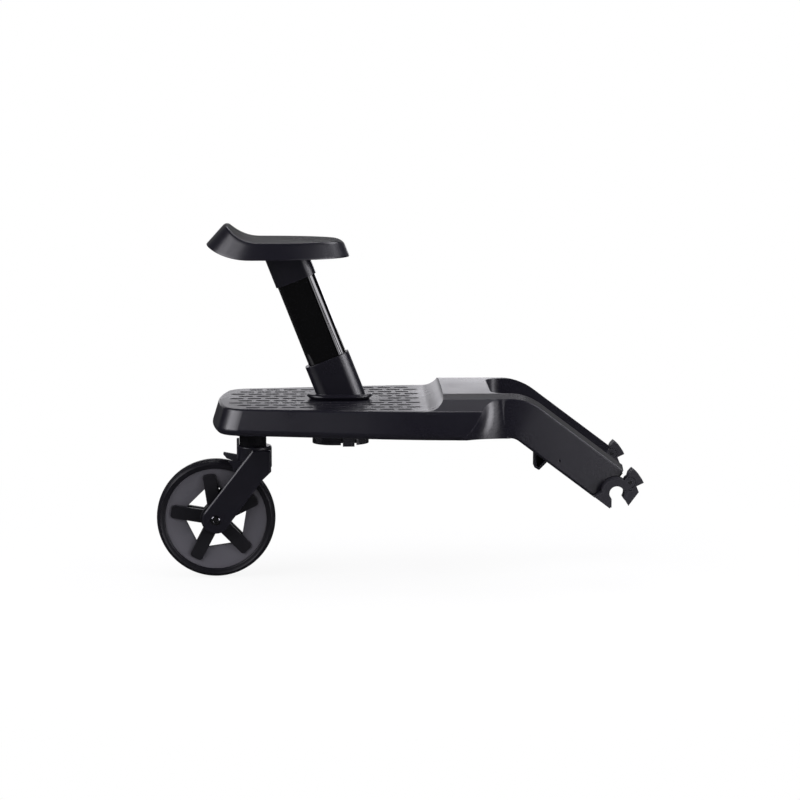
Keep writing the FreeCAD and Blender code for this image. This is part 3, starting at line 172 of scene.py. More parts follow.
def mouldedFinish(name, look):
    material = bpy.data.materials.new(name)
    material.use_nodes = True
    tree = material.node_tree
    shader = tree.nodes["Principled BSDF"]
    shader.inputs["Specular IOR Level"].default_value = look["specular"]
    shader.inputs["Coat Weight"].default_value = look.get("coat", 0.0)
    shader.inputs["Coat Roughness"].default_value = look.get("coatRoughness", surface["coatRoughness"])
    shader.inputs["Metallic"].default_value = look.get("metallic", 0.0)
    place = put(tree, "ShaderNodeTexCoord")
    rounded, edge = edgeMask(tree, look["edgeRadius"])

    # slow drift in colour and shine over the moulding
    drift = put(tree, "ShaderNodeTexNoise", {
        "Scale": look["driftScale"], "Detail": surface["driftDetail"],
        "Roughness": surface["driftRoughness"]})
    join(tree, place.outputs["Object"], drift.inputs["Vector"])
    colour = put(tree, "ShaderNodeMix", data_type="RGBA")
    colour.inputs["A"].default_value = (*look["colour"], 1)
    colour.inputs["B"].default_value = (*[c * look["driftGain"] for c in look["colour"]], 1)
    join(tree, drift.outputs["Fac"], colour.inputs["Factor"])
    worn = put(tree, "ShaderNodeMix", data_type="RGBA")
    worn.inputs["B"].default_value = (*look["edgeColour"], 1)
    join(tree, colour.outputs["Result"], worn.inputs["A"])
    join(tree, edge, worn.inputs["Factor"])
    join(tree, worn.outputs["Result"], shader.inputs["Base Color"])

    # fine texture of the mould, with a finer break-up of the shine
    grain = put(tree, "ShaderNodeTexNoise", {
        "Scale": 1.0 / look["grainSize"], "Detail": surface["grainDetail"],
        "Roughness": surface["grainRoughness"]})
    join(tree, place.outputs["Object"], grain.inputs["Vector"])
    blend = put(tree, "ShaderNodeMath", {1: surface["grainShare"]}, operation="MULTIPLY_ADD")
    join(tree, grain.outputs["Fac"], blend.inputs[0])
    join(tree, drift.outputs["Fac"], blend.inputs[2])
    shine = put(tree, "ShaderNodeMapRange", {
        "From Min": surface["shineFrom"], "From Max": surface["shineTo"],
        "To Min": look["roughness"][0], "To Max": look["roughness"][1]})
    join(tree, blend.outputs["Value"], shine.inputs["Value"])
    join(tree, shine.outputs["Result"], shader.inputs["Roughness"])
    bump = put(tree, "ShaderNodeBump", {"Strength": look["grainStrength"], "Distance": look["grainDepth"]})
    join(tree, grain.outputs["Fac"], bump.inputs["Height"])
    join(tree, rounded, bump.inputs["Normal"])
    join(tree, bump.outputs["Normal"], shader.inputs["Normal"])
    return material


finishes = {
    "blackPlastic": {
        "colour": (0.0054, 0.0051, 0.0082), "edgeColour": (0.023, 0.0225, 0.03), "edgeRadius": 0.0011,
        "roughness": (0.24, 0.33), "specular": 0.5, "driftScale": 9.0, "driftGain": 1.25,
        "grainSize": 0.0006, "grainStrength": 0.2, "grainDepth": 0.0001,
    },
    "clipPlastic": {
        "colour": (0.0104, 0.01, 0.0138), "edgeColour": (0.029, 0.0283, 0.036), "edgeRadius": 0.0008,
        "roughness": (0.5, 0.64), "specular": 0.4, "driftScale": 30.0, "driftGain": 1.4,
        "grainSize": 0.0009, "grainStrength": 0.4, "grainDepth": 0.0002,
    },
    "gripRubber": {
        "colour": (0.0102, 0.0098, 0.0134), "edgeColour": (0.018, 0.0175, 0.021), "edgeRadius": 0.0004,
        "roughness": (0.28, 0.38), "specular": 0.5, "driftScale": 60.0, "driftGain": 1.3,
        "grainSize": 0.0007, "grainStrength": 0.3, "grainDepth": 0.0001,
    },
    "tyreRubber": {
        "colour": (0.0042, 0.004, 0.0056), "edgeColour": (0.012, 0.0118, 0.0145), "edgeRadius": 0.0005,
        "roughness": (0.34, 0.46), "specular": 0.22, "driftScale": 35.0, "driftGain": 1.5,
        "grainSize": 0.0011, "grainStrength": 0.3, "grainDepth": 0.0002,
    },
    "greyPlastic": {
        "colour": (0.06, 0.058, 0.067), "edgeColour": (0.11, 0.108, 0.118), "edgeRadius": 0.0006,
        "roughness": (0.45, 0.58), "specular": 0.45, "driftScale": 25.0, "driftGain": 1.15,
        "grainSize": 0.0005, "grainStrength": 0.2, "grainDepth": 0.0001,
    },
    "spokePlastic": {
        "colour": (0.0036, 0.0034, 0.005), "edgeColour": (0.014, 0.0136, 0.017), "edgeRadius": 0.0012,
        "roughness": (0.4, 0.55), "specular": 0.3, "driftScale": 30.0, "driftGain": 1.4,
        "grainSize": 0.0007, "grainStrength": 0.25, "grainDepth": 0.00012,
    },
    # the stem and its washer: the black plastic painted darker and given little shine, as painted shade
    # where they sit under the deck
    "stemPaintedShade": {
        "colour": (0.003, 0.003, 0.0038), "edgeColour": (0.01, 0.01, 0.012), "edgeRadius": 0.0008,
        "roughness": (0.55, 0.68), "specular": 0.06, "driftScale": 30.0, "driftGain": 1.4,
        "grainSize": 0.0007, "grainStrength": 0.25, "grainDepth": 0.00012,
    },
    "tubeGloss": {
        "colour": (0.0008, 0.0008, 0.001), "edgeColour": (0.006, 0.006, 0.0066), "edgeRadius": 0.0005,
        "roughness": (0.06, 0.09), "specular": 0.4, "driftScale": 12.0, "driftGain": 1.3,
        "grainSize": 0.012, "grainStrength": 0.01, "grainDepth": 0.00001,
        "coat": 0.6, "coatRoughness": 0.04,
    },
    "bushPlastic": {
        "colour": (0.62, 0.61, 0.57), "edgeColour": (0.7, 0.69, 0.66), "edgeRadius": 0.0004,
        "roughness": (0.35, 0.5), "specular": 0.5, "driftScale": 40.0, "driftGain": 0.9,
        "grainSize": 0.0006, "grainStrength": 0.15, "grainDepth": 0.0001,
    },
    "zincSteel": {
        "colour": (0.52, 0.52, 0.54), "edgeColour": (0.7, 0.7, 0.72), "edgeRadius": 0.0003,
        "roughness": (0.25, 0.42), "specular": 0.5, "driftScale": 120.0, "driftGain": 0.8, "metallic": 1.0,
        "grainSize": 0.0004, "grainStrength": 0.15, "grainDepth": 0.00005,
    },
    "blackSteel": {
        "colour": (0.05, 0.05, 0.053), "edgeColour": (0.12, 0.12, 0.126), "edgeRadius": 0.0003,
        "roughness": (0.16, 0.28), "specular": 0.5, "driftScale": 90.0, "driftGain": 1.4, "metallic": 0.85,
        "grainSize": 0.0005, "grainStrength": 0.1, "grainDepth": 0.00005,
    },
    "boltSteel": {
        "colour": (0.12, 0.118, 0.128), "edgeColour": (0.2, 0.197, 0.21), "edgeRadius": 0.0003,
        "roughness": (0.14, 0.24), "specular": 0.5, "driftScale": 90.0, "driftGain": 1.3, "metallic": 1.0,
        "grainSize": 0.0005, "grainStrength": 0.08, "grainDepth": 0.00004,
    },
}
materials = {name: mouldedFinish(name, look) for name, look in finishes.items()}
print("finishes:", len(materials))

wornBy = {
    "blackPlastic": ["deck_shell", "underside_cover", "left_arm_cover", "right_arm_cover", "caster_fork",
                     "lower_sleeve", "upper_sleeve", "seat_shell", "seat_base", "seat_socket", "socket_cap",
                     "post_plug", "rim_ring"],
    "spokePlastic": ["wheel_star"],
    "stemPaintedShade": ["caster_housing", "thrust_washer"],
    "clipPlastic": ["left_axle_clip", "right_axle_clip", "left_clip_jaw", "right_clip_jaw", "swivel_lock",
                    "seat_release"],
    # painted shade: the stem and washer take the darkened copy of the black plastic
    "gripRubber": ["grip_ribs"],
    "tyreRubber": ["tyre"],
    "greyPlastic": ["left_rim_disc", "right_rim_disc"],
    "tubeGloss": ["post_tube"],
    "bushPlastic": ["lower_swivel_bush", "upper_swivel_bush"],
    "zincSteel": ["cover_screws", "clip_screws", "left_jaw_spring", "right_jaw_spring", "release_spring",
                  "kingpin", "kingpin_circlip", "axle_nut", "axle_spacers", "lock_detent",
                  "left_wheel_bearing", "right_wheel_bearing", "bearing_spacer", "post_screws",
                  "seat_screws"],
    "blackSteel": ["left_jaw_pin", "right_jaw_pin"],
    "boltSteel": ["axle_bolt"],
}
for finish, names in wornBy.items():
    for nodeName in names:
        slots = cadNodes[nodeName].data.materials
        slots.clear()
        slots.append(materials[finish])


# grip dashes on the deck, one for each rib of the frame

gripDash = {"length": 17.0, "width": 3.0, "shown": 0.5, "sunk": 0.15, "edge": 0.8, "rounds": 2}


def treeInput(tree, name, kind):
    return tree.interface.new_socket(name=name, in_out="INPUT", socket_type=kind).identifier


def dashTree(material):
    tree = bpy.data.node_groups.new("gripDashes", "GeometryNodeTree")
    treeInput(tree, "Places", "NodeSocketGeometry")
    keys = {
        "size": treeInput(tree, "Dash size", "NodeSocketVector"),
        "edge": treeInput(tree, "Edge hardness", "NodeSocketFloat"),
        "rounds": treeInput(tree, "Rounding steps", "NodeSocketInt"),
    }
    tree.interface.new_socket(name="Dashes", in_out="OUTPUT", socket_type="NodeSocketGeometry")
    given = put(tree, "NodeGroupInput")
    block = put(tree, "GeometryNodeMeshCube")
    join(tree, given.outputs["Dash size"], block.inputs["Size"])
    soft = put(tree, "GeometryNodeSubdivisionSurface")
    join(tree, block.outputs["Mesh"], soft.inputs["Mesh"])
    join(tree, given.outputs["Rounding steps"], soft.inputs["Level"])
    join(tree, given.outputs["Edge hardness"], soft.inputs["Edge Crease"])
    spread = put(tree, "GeometryNodeInstanceOnPoints")
    join(tree, given.outputs["Places"], spread.inputs["Points"])
    join(tree, soft.outputs["Mesh"], spread.inputs["Instance"])
    real = put(tree, "GeometryNodeRealizeInstances")
    join(tree, spread.outputs["Instances"], real.inputs["Geometry"])
    smooth = put(tree, "GeometryNodeSetShadeSmooth")
    join(tree, real.outputs["Geometry"], smooth.inputs["Geometry"])
    paint = put(tree, "GeometryNodeSetMaterial", {"Material": material})
    join(tree, smooth.outputs["Geometry"], paint.inputs["Geometry"])
    done = put(tree, "NodeGroupOutput")
    join(tree, paint.outputs["Geometry"], done.inputs["Dashes"])
    return tree, keys


def grownPiece(name, places, tree, values, turns=None):
    mesh = bpy.data.meshes.new(name)
    mesh.from_pydata(places, [], [])
    if turns:
        way = mesh.attributes.new("turn", "FLOAT_VECTOR", "POINT")
        for k, turn in enumerate(turns):
            way.data[k].vector = turn
    piece = addPiece(name, mesh)
    grow = piece.modifiers.new("grow", "NODES")
    grow.node_group = tree
    for key, value in values.items():
        grow[key] = value
    bpy.context.view_layer.update()
    shown = piece.evaluated_get(bpy.context.evaluated_depsgraph_get())
    plain = bpy.data.meshes.new_from_object(shown)
    piece.modifiers.clear()
    piece.data = plain
    return piece


def makeGripDashes():
    tree, keys = dashTree(materials["gripRubber"])
    d = gripDash
    level = (d["shown"] - d["sunk"]) / 2 * mm
    places = []
    for low, high in islandBoxes("grip_ribs"):
        places.append(((low.x + high.x) / 2, (low.y + high.y) / 2, low.z + level))
    size = [v * mm for v in (d["length"], d["width"], d["shown"] + d["sunk"])]
    values = {keys["size"]: size, keys["edge"]: d["edge"], keys["rounds"]: d["rounds"]}
    piece = grownPiece("gripDashes", places, tree, values)
    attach(piece, "board")
    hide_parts("grip_ribs")
    print("grip dashes:", len(places))


makeGripDashes()


# screws: a tapered head with a cross recess on a plain shank, one for each screw of the frame

screw = {"head": 7.5, "rise": 2.2, "taper": 0.84, "shank": 4.0, "crossWidth": 1.0, "crossReach": 4.6,
         "crossDepth": 1.3, "sides": 28}


def screwTree(material):
    tree = bpy.data.node_groups.new("crossScrews", "GeometryNodeTree")
    treeInput(tree, "Places", "NodeSocketGeometry")
    keys = {}
    for name in ("Head radius", "Top radius", "Head rise", "Shank radius", "Shank length", "Cross width",
                 "Cross reach", "Cross depth"):
        keys[name] = treeInput(tree, name, "NodeSocketFloat")
    tree.interface.new_socket(name="Screws", in_out="OUTPUT", socket_type="NodeSocketGeometry")
    given = put(tree, "NodeGroupInput")
    head = put(tree, "GeometryNodeMeshCone", {"Vertices": screw["sides"]})
    join(tree, given.outputs["Top radius"], head.inputs["Radius Top"])
    join(tree, given.outputs["Head radius"], head.inputs["Radius Bottom"])
    join(tree, given.outputs["Head rise"], head.inputs["Depth"])
    # two crossed bars, half sunk into the head from its top
    deep = put(tree, "ShaderNodeMath", {1: 2.0}, operation="MULTIPLY")
    join(tree, given.outputs["Cross depth"], deep.inputs[0])
    top = put(tree, "ShaderNodeCombineXYZ")
    join(tree, given.outputs["Head rise"], top.inputs["Z"])
    carve = put(tree, "GeometryNodeMeshBoolean", operation="DIFFERENCE")
    join(tree, head.outputs["Mesh"], carve.inputs["Mesh 1"])
    for wide, narrow in (("X", "Y"), ("Y", "X")):
        size = put(tree, "ShaderNodeCombineXYZ")
        join(tree, given.outputs["Cross reach"], size.inputs[wide])
        join(tree, given.outputs["Cross width"], size.inputs[narrow])
        join(tree, deep.outputs["Value"], size.inputs["Z"])
        bar = put(tree, "GeometryNodeMeshCube")
        join(tree, size.outputs["Vector"], bar.inputs["Size"])
        lift = put(tree, "GeometryNodeTransform")
        join(tree, bar.outputs["Mesh"], lift.inputs["Geometry"])
        join(tree, top.outputs["Vector"], lift.inputs["Translation"])
        join(tree, lift.outputs["Geometry"], carve.inputs["Mesh 2"])
    shank = put(tree, "GeometryNodeMeshCylinder", {"Vertices": screw["sides"]})
    join(tree, given.outputs["Shank radius"], shank.inputs["Radius"])
    join(tree, given.outputs["Shank length"], shank.inputs["Depth"])
    half = put(tree, "ShaderNodeMath", {1: -0.5}, operation="MULTIPLY")
    join(tree, given.outputs["Shank length"], half.inputs[0])
    below = put(tree, "ShaderNodeCombineXYZ")
    join(tree, half.outputs["Value"], below.inputs["Z"])
    sink = put(tree, "GeometryNodeTransform")
    join(tree, shank.outputs["Mesh"], sink.inputs["Geometry"])
    join(tree, below.outputs["Vector"], sink.inputs["Translation"])
    whole = put(tree, "GeometryNodeJoinGeometry")
    join(tree, carve.outputs["Mesh"], whole.inputs["Geometry"])
    join(tree, sink.outputs["Geometry"], whole.inputs["Geometry"])
    turn = put(tree, "GeometryNodeInputNamedAttribute", {"Name": "turn"}, data_type="FLOAT_VECTOR")
    way = put(tree, "FunctionNodeEulerToRotation")
    join(tree, turn.outputs["Attribute"], way.inputs["Euler"])
    spread = put(tree, "GeometryNodeInstanceOnPoints")
    join(tree, given.outputs["Places"], spread.inputs["Points"])
    join(tree, whole.outputs["Geometry"], spread.inputs["Instance"])
    join(tree, way.outputs["Rotation"], spread.inputs["Rotation"])
    real = put(tree, "GeometryNodeRealizeInstances")
    join(tree, spread.outputs["Instances"], real.inputs["Geometry"])
    paint = put(tree, "GeometryNodeSetMaterial", {"Material": material})
    join(tree, real.outputs["Geometry"], paint.inputs["Geometry"])
    done = put(tree, "NodeGroupOutput")
    join(tree, paint.outputs["Geometry"], done.inputs["Screws"])
    return tree, keys


def screwStand(low, high):
    # where the head meets the shank, how the head is turned, and the shank's length
    rise = screw["rise"] * mm
    middle = (low + high) / 2
    if high.z - low.z > high.y - low.y:
        return (middle.x, middle.y, low.z + rise), (math.pi, 0, 0), high.z - low.z - rise
    if middle.y > 0:
        return (middle.x, low.y + rise, middle.z), (math.pi / 2, 0, 0), high.y - low.y - rise
    return (middle.x, high.y - rise, middle.z), (-math.pi / 2, 0, 0), high.y - low.y - rise


def makeScrews(name, nodeName, body, tree, keys):
    stands = [screwStand(low, high) for low, high in islandBoxes(nodeName)]
    s = screw
    sizes = {
        "Head radius": s["head"] / 2, "Top radius": s["head"] / 2 * s["taper"], "Head rise": s["rise"],
        "Shank radius": s["shank"] / 2, "Shank length": stands[0][2] / mm,
        "Cross width": s["crossWidth"], "Cross reach": s["crossReach"], "Cross depth": s["crossDepth"],
    }
    values = {keys[key]: value * mm for key, value in sizes.items()}
    places = [at for at, turn, run in stands]
    turns = [turn for at, turn, run in stands]
    piece = grownPiece(name, places, tree, values, turns)
    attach(piece, body)
    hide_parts(nodeName)
    print("screws:", name, len(stands))


crossScrews, screwKeys = screwTree(materials["zincSteel"])
makeScrews("coverScrews", "cover_screws", "board", crossScrews, screwKeys)
makeScrews("clipScrews", "clip_screws", "board", crossScrews, screwKeys)
makeScrews("seatScrews", "seat_screws", "seat", crossScrews, screwKeys)


# axle bolt: a rounded head with a hex socket on a plain shank

axleBolt = {"flat": 4.0, "head": 6.0, "rise": 3.5, "socket": 6.0, "socketDepth": 2.2, "shank": 4.0,
            "chamfer": 0.6, "roundSteps": 4, "segments": 48}


def makeAxleBolt():
    b = axleBolt
    low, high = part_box("axle_bolt")
    face = low.y / mm
    end = high.y / mm
    hexSide = math.pi / 3

    def hexReach(angle):
        return b["socket"] / 2 / math.cos((angle + hexSide / 2) % hexSide - hexSide / 2)

    soft = b["head"] - b["flat"]
    rings = [(None, face + b["socketDepth"]), (None, face)]
    for k in range(b["roundSteps"] + 1):
        a = math.pi / 2 * k / b["roundSteps"]
        rings.append((b["flat"] + soft * math.sin(a), face + soft * (1 - math.cos(a))))
    rings += [(b["head"], face + b["rise"]), (b["shank"], face + b["rise"]),
              (b["shank"], end - b["chamfer"]), (b["shank"] - b["chamfer"], end)]
    bm = bmesh.new()
    rows = []
    for reach, y in rings:
        row = []
        for k in range(b["segments"]):
            a = 2 * math.pi * k / b["segments"]
            row.append(bm.verts.new(aroundAxle(reach or hexReach(a), y, a)))
        rows.append(row)
    for near, far in zip(rows, rows[1:]):
        for k in range(b["segments"]):
            n = (k + 1) % b["segments"]
            bm.faces.new((near[k], near[n], far[n], far[k]))
    bm.faces.new(rows[0])
    bm.faces.new(rows[-1])
    bmesh.ops.recalc_face_normals(bm, faces=bm.faces)
    mesh = meshOf("axleBolt", bm)
    mesh.materials.append(materials["boltSteel"])
    piece = addPiece("axleBolt", mesh)
    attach(piece, "caster")
    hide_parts("axle_bolt")
    print("axle bolt:", len(mesh.polygons), "faces")


makeAxleBolt()


# saddle: a flared plan under a dished top, with softened rims

saddle = {
    "footRear": -26.0, "footWide": 50.0, "footNose": 171.0, "footHalf": 68.0, "footZ": 403.0,
    "topRear": 16.0, "topWide": 64.0, "topNose": 152.0, "topHalf": 52.5, "topZ": 449.5,
    "lowZ": 406.0, "panZ": 427.0, "lipZ": 446.5, "tailZ": 423.0,
    "tailAt": -12.0, "heelAt": 46.0, "lipAt": 18.0, "panAt": 56.0, "browAt": 150.0, "middleAt": 80.0,
    "rimRound": 3.6, "footRound": 1.2, "fullness": 2.25, "skin": 3.2, "hollow": 9.0, "tailHollow": 1.0,
    "ceilingShare": 0.7, "topShares": (0.25, 0.55, 0.8), "dish": 1.2, "dishShare": 0.5,
    "around": 96, "halvings": 40, "softLevels": 2,
}


def between(a, b, t):
    return a + (b - a) * t


def arcRise(reach, run, rise):
    radius = (run * run + rise * rise) / (2 * rise)
    return radius - math.sqrt(max(radius * radius - reach * reach, 0))


def fuller(share):
    # fuller than an ellipse, so that the sides run straighter into a rounder nose
    return math.copysign(abs(share) ** (2 / saddle["fullness"]), share)


def saddlePlan(angle, z):
    s = saddle
    t = (z - s["footZ"]) / (s["topZ"] - s["footZ"])
    wide = between(s["footWide"], s["topWide"], t)
    end = between(s["footNose"], s["topNose"], t)
    if math.cos(angle) < 0:
        end = 2 * wide - between(s["footRear"], s["topRear"], t)
    half = between(s["footHalf"], s["topHalf"], t)
    return wide + (end - wide) * fuller(math.cos(angle)), half * fuller(math.sin(angle))


def saddleTop(x):
    s = saddle
    if x < s["panAt"]:
        reach = s["panAt"] - max(x, s["lipAt"])
        return s["panZ"] + arcRise(reach, s["panAt"] - s["lipAt"], s["lipZ"] - s["panZ"])
    if x > s["browAt"]:
        return s["panZ"] - arcRise(x - s["browAt"], s["footNose"] - s["browAt"], s["panZ"] - s["lowZ"])
    return s["panZ"]


def saddleFoot(x):
    s = saddle
    reach = max(s["heelAt"] - x, 0)
    return s["lowZ"] + arcRise(reach, s["heelAt"] - s["tailAt"], s["tailZ"] - s["lowZ"])


def saddleMeet(angle, heightOf):
    low = saddle["footZ"]
    high = saddle["topZ"]
    for step in range(saddle["halvings"]):
        middle = (low + high) / 2
        x, y = saddlePlan(angle, middle)
        if middle < heightOf(x):
            low = middle
        else:
            high = middle
    return (low + high) / 2


def inward(x, y, reach, drop):
    share = max(1 - drop / reach, 0)
    return between(saddle["middleAt"], x, share), y * share


def saddleColumn(angle):
    s = saddle
    top = saddleMeet(angle, saddleTop)
    foot = saddleMeet(angle, saddleFoot)
    edgeX, edgeY = saddlePlan(angle, top)
    footX, footY = saddlePlan(angle, foot)
    spread = math.hypot(edgeX - s["middleAt"], edgeY)
    footSpread = math.hypot(footX - s["middleAt"], footY)
    column = []
    # hollow underneath, from its ceiling down to the rim, shallower towards the tail
    tail = min(max(footX - s["footRear"], 0) / (s["heelAt"] - s["footRear"]), 1)
    deep = between(s["tailHollow"], s["hollow"], tail)
    under = ((footSpread * s["ceilingShare"], deep), (s["skin"] * 2, deep), (s["skin"], deep),
             (s["skin"], 0))
    for drop, lift in under:
        x, y = inward(footX, footY, footSpread, drop)
        column.append((x, y, saddleFoot(x) + lift))
    # outer wall
    for z in (foot, foot + s["footRound"], between(foot, top, 0.5), top - s["rimRound"], top):
        column.append((*saddlePlan(angle, z), z))
    # top
    for drop in (s["rimRound"], *[spread * share for share in s["topShares"]]):
        x, y = inward(edgeX, edgeY, spread, drop)
        sag = s["dish"] * min(drop / (spread * s["dishShare"]), 1)
        column.append((x, y, saddleTop(x) - sag))
    return column


def makeSaddle():
    bm = bmesh.new()
    count = saddle["around"]
    columns = [saddleColumn(2 * math.pi * (k + 0.5) / count) for k in range(count)]
    rings = [[bm.verts.new(fromAxle(*p)) for p in ring] for ring in zip(*columns)]
    for lower, upper in zip(rings, rings[1:]):
        for k in range(count):
            n = (k + 1) % count
            bm.faces.new((lower[k], lower[n], upper[n], upper[k]))
    for ring in (rings[0], rings[-1]):
        half = count // 2
        for k in range(half - 1):
            bm.faces.new((ring[k], ring[k + 1], ring[count - 2 - k], ring[count - 1 - k]))
    bmesh.ops.recalc_face_normals(bm, faces=bm.faces)
    mesh = meshOf("saddleShell", bm)
    shadeSmooth(mesh)
    mesh.materials.append(materials["blackPlastic"])
    piece = addPiece("saddleShell", mesh)
    soft = piece.modifiers.new("soften", "SUBSURF")
    soft.levels = saddle["softLevels"]
    soft.render_levels = saddle["softLevels"]
    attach(piece, "seat")
    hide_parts("seat_shell")
    print("saddle shell:", len(mesh.polygons), "faces before softening")


makeSaddle()


# post foot: the lower sleeve, with its flange drawn in below a thin rounded rim

postFoot = {"drawnIn": 4.5, "seatDepth": 0.05, "edgeZone": 3.0, "sharpFrom": 30.0}


def makePostFoot():
    bm = mergedCopy("lower_sleeve")
    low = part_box("lower_sleeve")[0]
    seat = [v for v in bm.verts if v.co.z < low.z + postFoot["seatDepth"] * mm]
    rear = min(v.co.x for v in seat)
    front = max(v.co.x for v in seat)
    middle = (rear + front) / 2
    halfLong = (front - rear) / 2
    halfWide = max(v.co.y for v in seat)
    drawn = postFoot["drawnIn"] * mm
    zone = postFoot["edgeZone"] * mm
    for vert in seat:
        # the screw holes stay where they are
        if abs(vert.co.y) > zone or abs(vert.co.x - middle) > halfLong - zone:
            vert.co.x = middle + (vert.co.x - middle) * (1 - drawn / halfLong)
            vert.co.y *= 1 - drawn / halfWide
    markSharp(bm, postFoot["sharpFrom"])
    mesh = meshOf("postFoot", bm)
    shadeSmooth(mesh)
    mesh.materials.append(materials["blackPlastic"])
    piece = addPiece("postFoot", mesh)
    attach(piece, "seat")
    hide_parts("lower_sleeve")
    print("post foot:", len(mesh.polygons), "faces")


makePostFoot()


# post tube: the same tube with smooth corners, so that they carry one unbroken stripe of light

postTube = {"sharpFrom": 30.0, "flatness": 90}


def makePostTube():
    bm = mergedCopy("post_tube")
    markSharp(bm, postTube["sharpFrom"])
    mesh = meshOf("postTube", bm)
    shadeSmooth(mesh)
    mesh.materials.append(materials["tubeGloss"])
    piece = addPiece("postTube", mesh)
    even = piece.modifiers.new("even", "WEIGHTED_NORMAL")
    even.keep_sharp = True
    even.weight = postTube["flatness"]
    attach(piece, "seat")
    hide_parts("post_tube")
    print("post tube:", len(mesh.polygons), "faces")


makePostTube()


# release spring: a merged, smooth-shaded copy on the board, with a mesh of its own

def makeReleaseCoil():
    mesh = meshOf("releaseCoil", mergedCopy("release_spring"))
    shadeSmooth(mesh)
    mesh.materials.append(materials["zincSteel"])
    piece = addPiece("releaseCoil", mesh)
    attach(piece, "board")
    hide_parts("release_spring")
    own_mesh(piece)
    print("release coil:", len(mesh.polygons), "faces")


makeReleaseCoil()


# tyre: a turned section with a bead on the sidewall and two crown grooves

tyre = {
    "segments": 160,
    # radius and half width, from the rim over the bead and one groove to the middle of the crown
    "section": [(64.0, 13.2), (64.5, 14.1), (65.6, 14.5), (69.3, 14.5), (69.6, 14.9), (70.0, 15.0),
                (70.4, 14.9), (70.8, 14.2), (72.0, 13.0), (73.2, 11.0), (73.9, 8.6), (74.2, 7.6),
                (73.6, 7.1), (73.7, 6.3), (74.5, 5.8), (74.9, 3.0), (75.0, 0.0)],
}


def makeTyre():
    half = tyre["section"]
    section = half + [(r, -y) for r, y in reversed(half[:-1])]
    bm = bmesh.new()
    rows = []
    for k in range(tyre["segments"]):
        a = 2 * math.pi * k / tyre["segments"]
        rows.append([bm.verts.new(aroundAxle(r, y, a)) for r, y in section])
    for k, row in enumerate(rows):
        following = rows[(k + 1) % len(rows)]
        for i in range(len(section)):
            n = (i + 1) % len(section)
            bm.faces.new((row[i], row[n], following[n], following[i]))
    bmesh.ops.recalc_face_normals(bm, faces=bm.faces)
    mesh = meshOf("tyreTread", bm)
    shadeSmooth(mesh)
    mesh.materials.append(materials["tyreRubber"])
    piece = addPiece("tyreTread", mesh)
    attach(piece, "wheel")
    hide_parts("tyre")
    print("tyre:", len(mesh.polygons), "faces")


makeTyre()


# studio: white sweep and pale floor, a softbox on each side, small panels for the edges, low strips behind

studio = {
    # the camera's place from the axle and its lens in millimetres, the rest in metres and watts
    "eye": (140.34, -3381.96, 710.24), "pitch": 8.183, "yaw": 1.563, "lens": 122.04, "sensor": 36.0,
    "farClip": 50.0, "lampColour": (0.96, 0.945, 1.0), "aim": (0, 0, 0.24),
    "frontLevel": 0.006, "backLevel": 0.16, "fillLevel": 0.18, "sweepFrom": 0.6, "sweepTo": 0.97,
    "floorHalf": 12.0, "floorGap": 0.0005, "floorColour": 0.86, "floorRoughness": 0.9, "floorGlow": 0.9,
    "floorShine": 0.05, "fadeFrom": 0.35, "fadeTo": 0.9,
    "lamps": [
        {"name": "rightBox", "at": (1.9, -1.15, 0.38), "size": (1.0, 0.72), "power": 22.0},
        {"name": "leftBox", "at": (-1.86, -1.24, 1.4), "size": (1.9, 1.2), "power": 42.0},
        {"name": "tubePanel", "at": (1.92, -0.87, 0.97), "size": (1.25, 0.3), "power": 9.0,
         "aim": (-0.1, 0, 0.33)},
        {"name": "frontBox", "at": (1.32, -1.98, 0.55), "size": (0.6, 1.0), "power": 5.4},
        {"name": "noseBox", "at": (2.3, -0.3, 0.6), "size": (0.9, 0.9), "power": 6.0},
        {"name": "sidePanel", "at": (-2.05, -0.2, 1.6), "size": (1.2, 1.0), "power": 13.0},
        {"name": "armPanel", "at": (1.5, 0.35, 1.6), "size": (1.0, 0.9), "power": 15.0,
         "aim": (0.2, 0, 0.2)},
        {"name": "skyPanel", "at": (0.1, 0.7, 2.2), "size": (1.2, 0.5), "power": 3.0},
        {"name": "topBox", "at": (0.0, -0.4, 2.4), "size": (1.6, 1.2), "power": 18.0, "dull": True},
        {"name": "deckStrip", "at": (-0.15, 0.95, 0.31), "size": (0.7, 0.16), "power": 0.56,
         "aim": (-0.1, 0, 0.24)},
        {"name": "neckStrip", "at": (0.19, 0.9, 0.38), "size": (0.26, 0.16), "power": 0.15,
         "aim": (0.15, 0, 0.24)},
        {"name": "seatStrip", "at": (-0.13, 0.95, 1.13), "size": (0.6, 0.12), "power": 1.4,
         "aim": (-0.13, 0, 0.42)},
    ],
}


def makeCamera():
    lens = bpy.data.cameras.new("photoCamera")
    lens.lens = studio["lens"]
    lens.sensor_width = studio["sensor"]
    lens.clip_end = studio["farClip"]
    eye = bpy.data.objects.new("photoCamera", lens)
    eye.location = fromAxle(*studio["eye"])
    eye.rotation_euler = (math.radians(90 - studio["pitch"]), 0, math.radians(-studio["yaw"]))
    bpy.context.scene.collection.objects.link(eye)
    bpy.context.scene.camera = eye


def makeLamps():
    for lamp in studio["lamps"]:
        light = bpy.data.lights.new(lamp["name"], "AREA")
        light.shape = "RECTANGLE"
        light.size, light.size_y = lamp["size"]
        light.energy = lamp["power"]
        light.color = studio["lampColour"]
        holder = bpy.data.objects.new(lamp["name"], light)
        holder.location = lamp["at"]
        way = Vector(lamp.get("aim", studio["aim"])) - Vector(lamp["at"])
        holder.rotation_euler = way.to_track_quat("-Z", "Y").to_euler()
        holder.visible_camera = False
        holder.visible_glossy = not lamp.get("dull", False)  # a dull lamp leaves no reflection
        bpy.context.scene.collection.objects.link(holder)


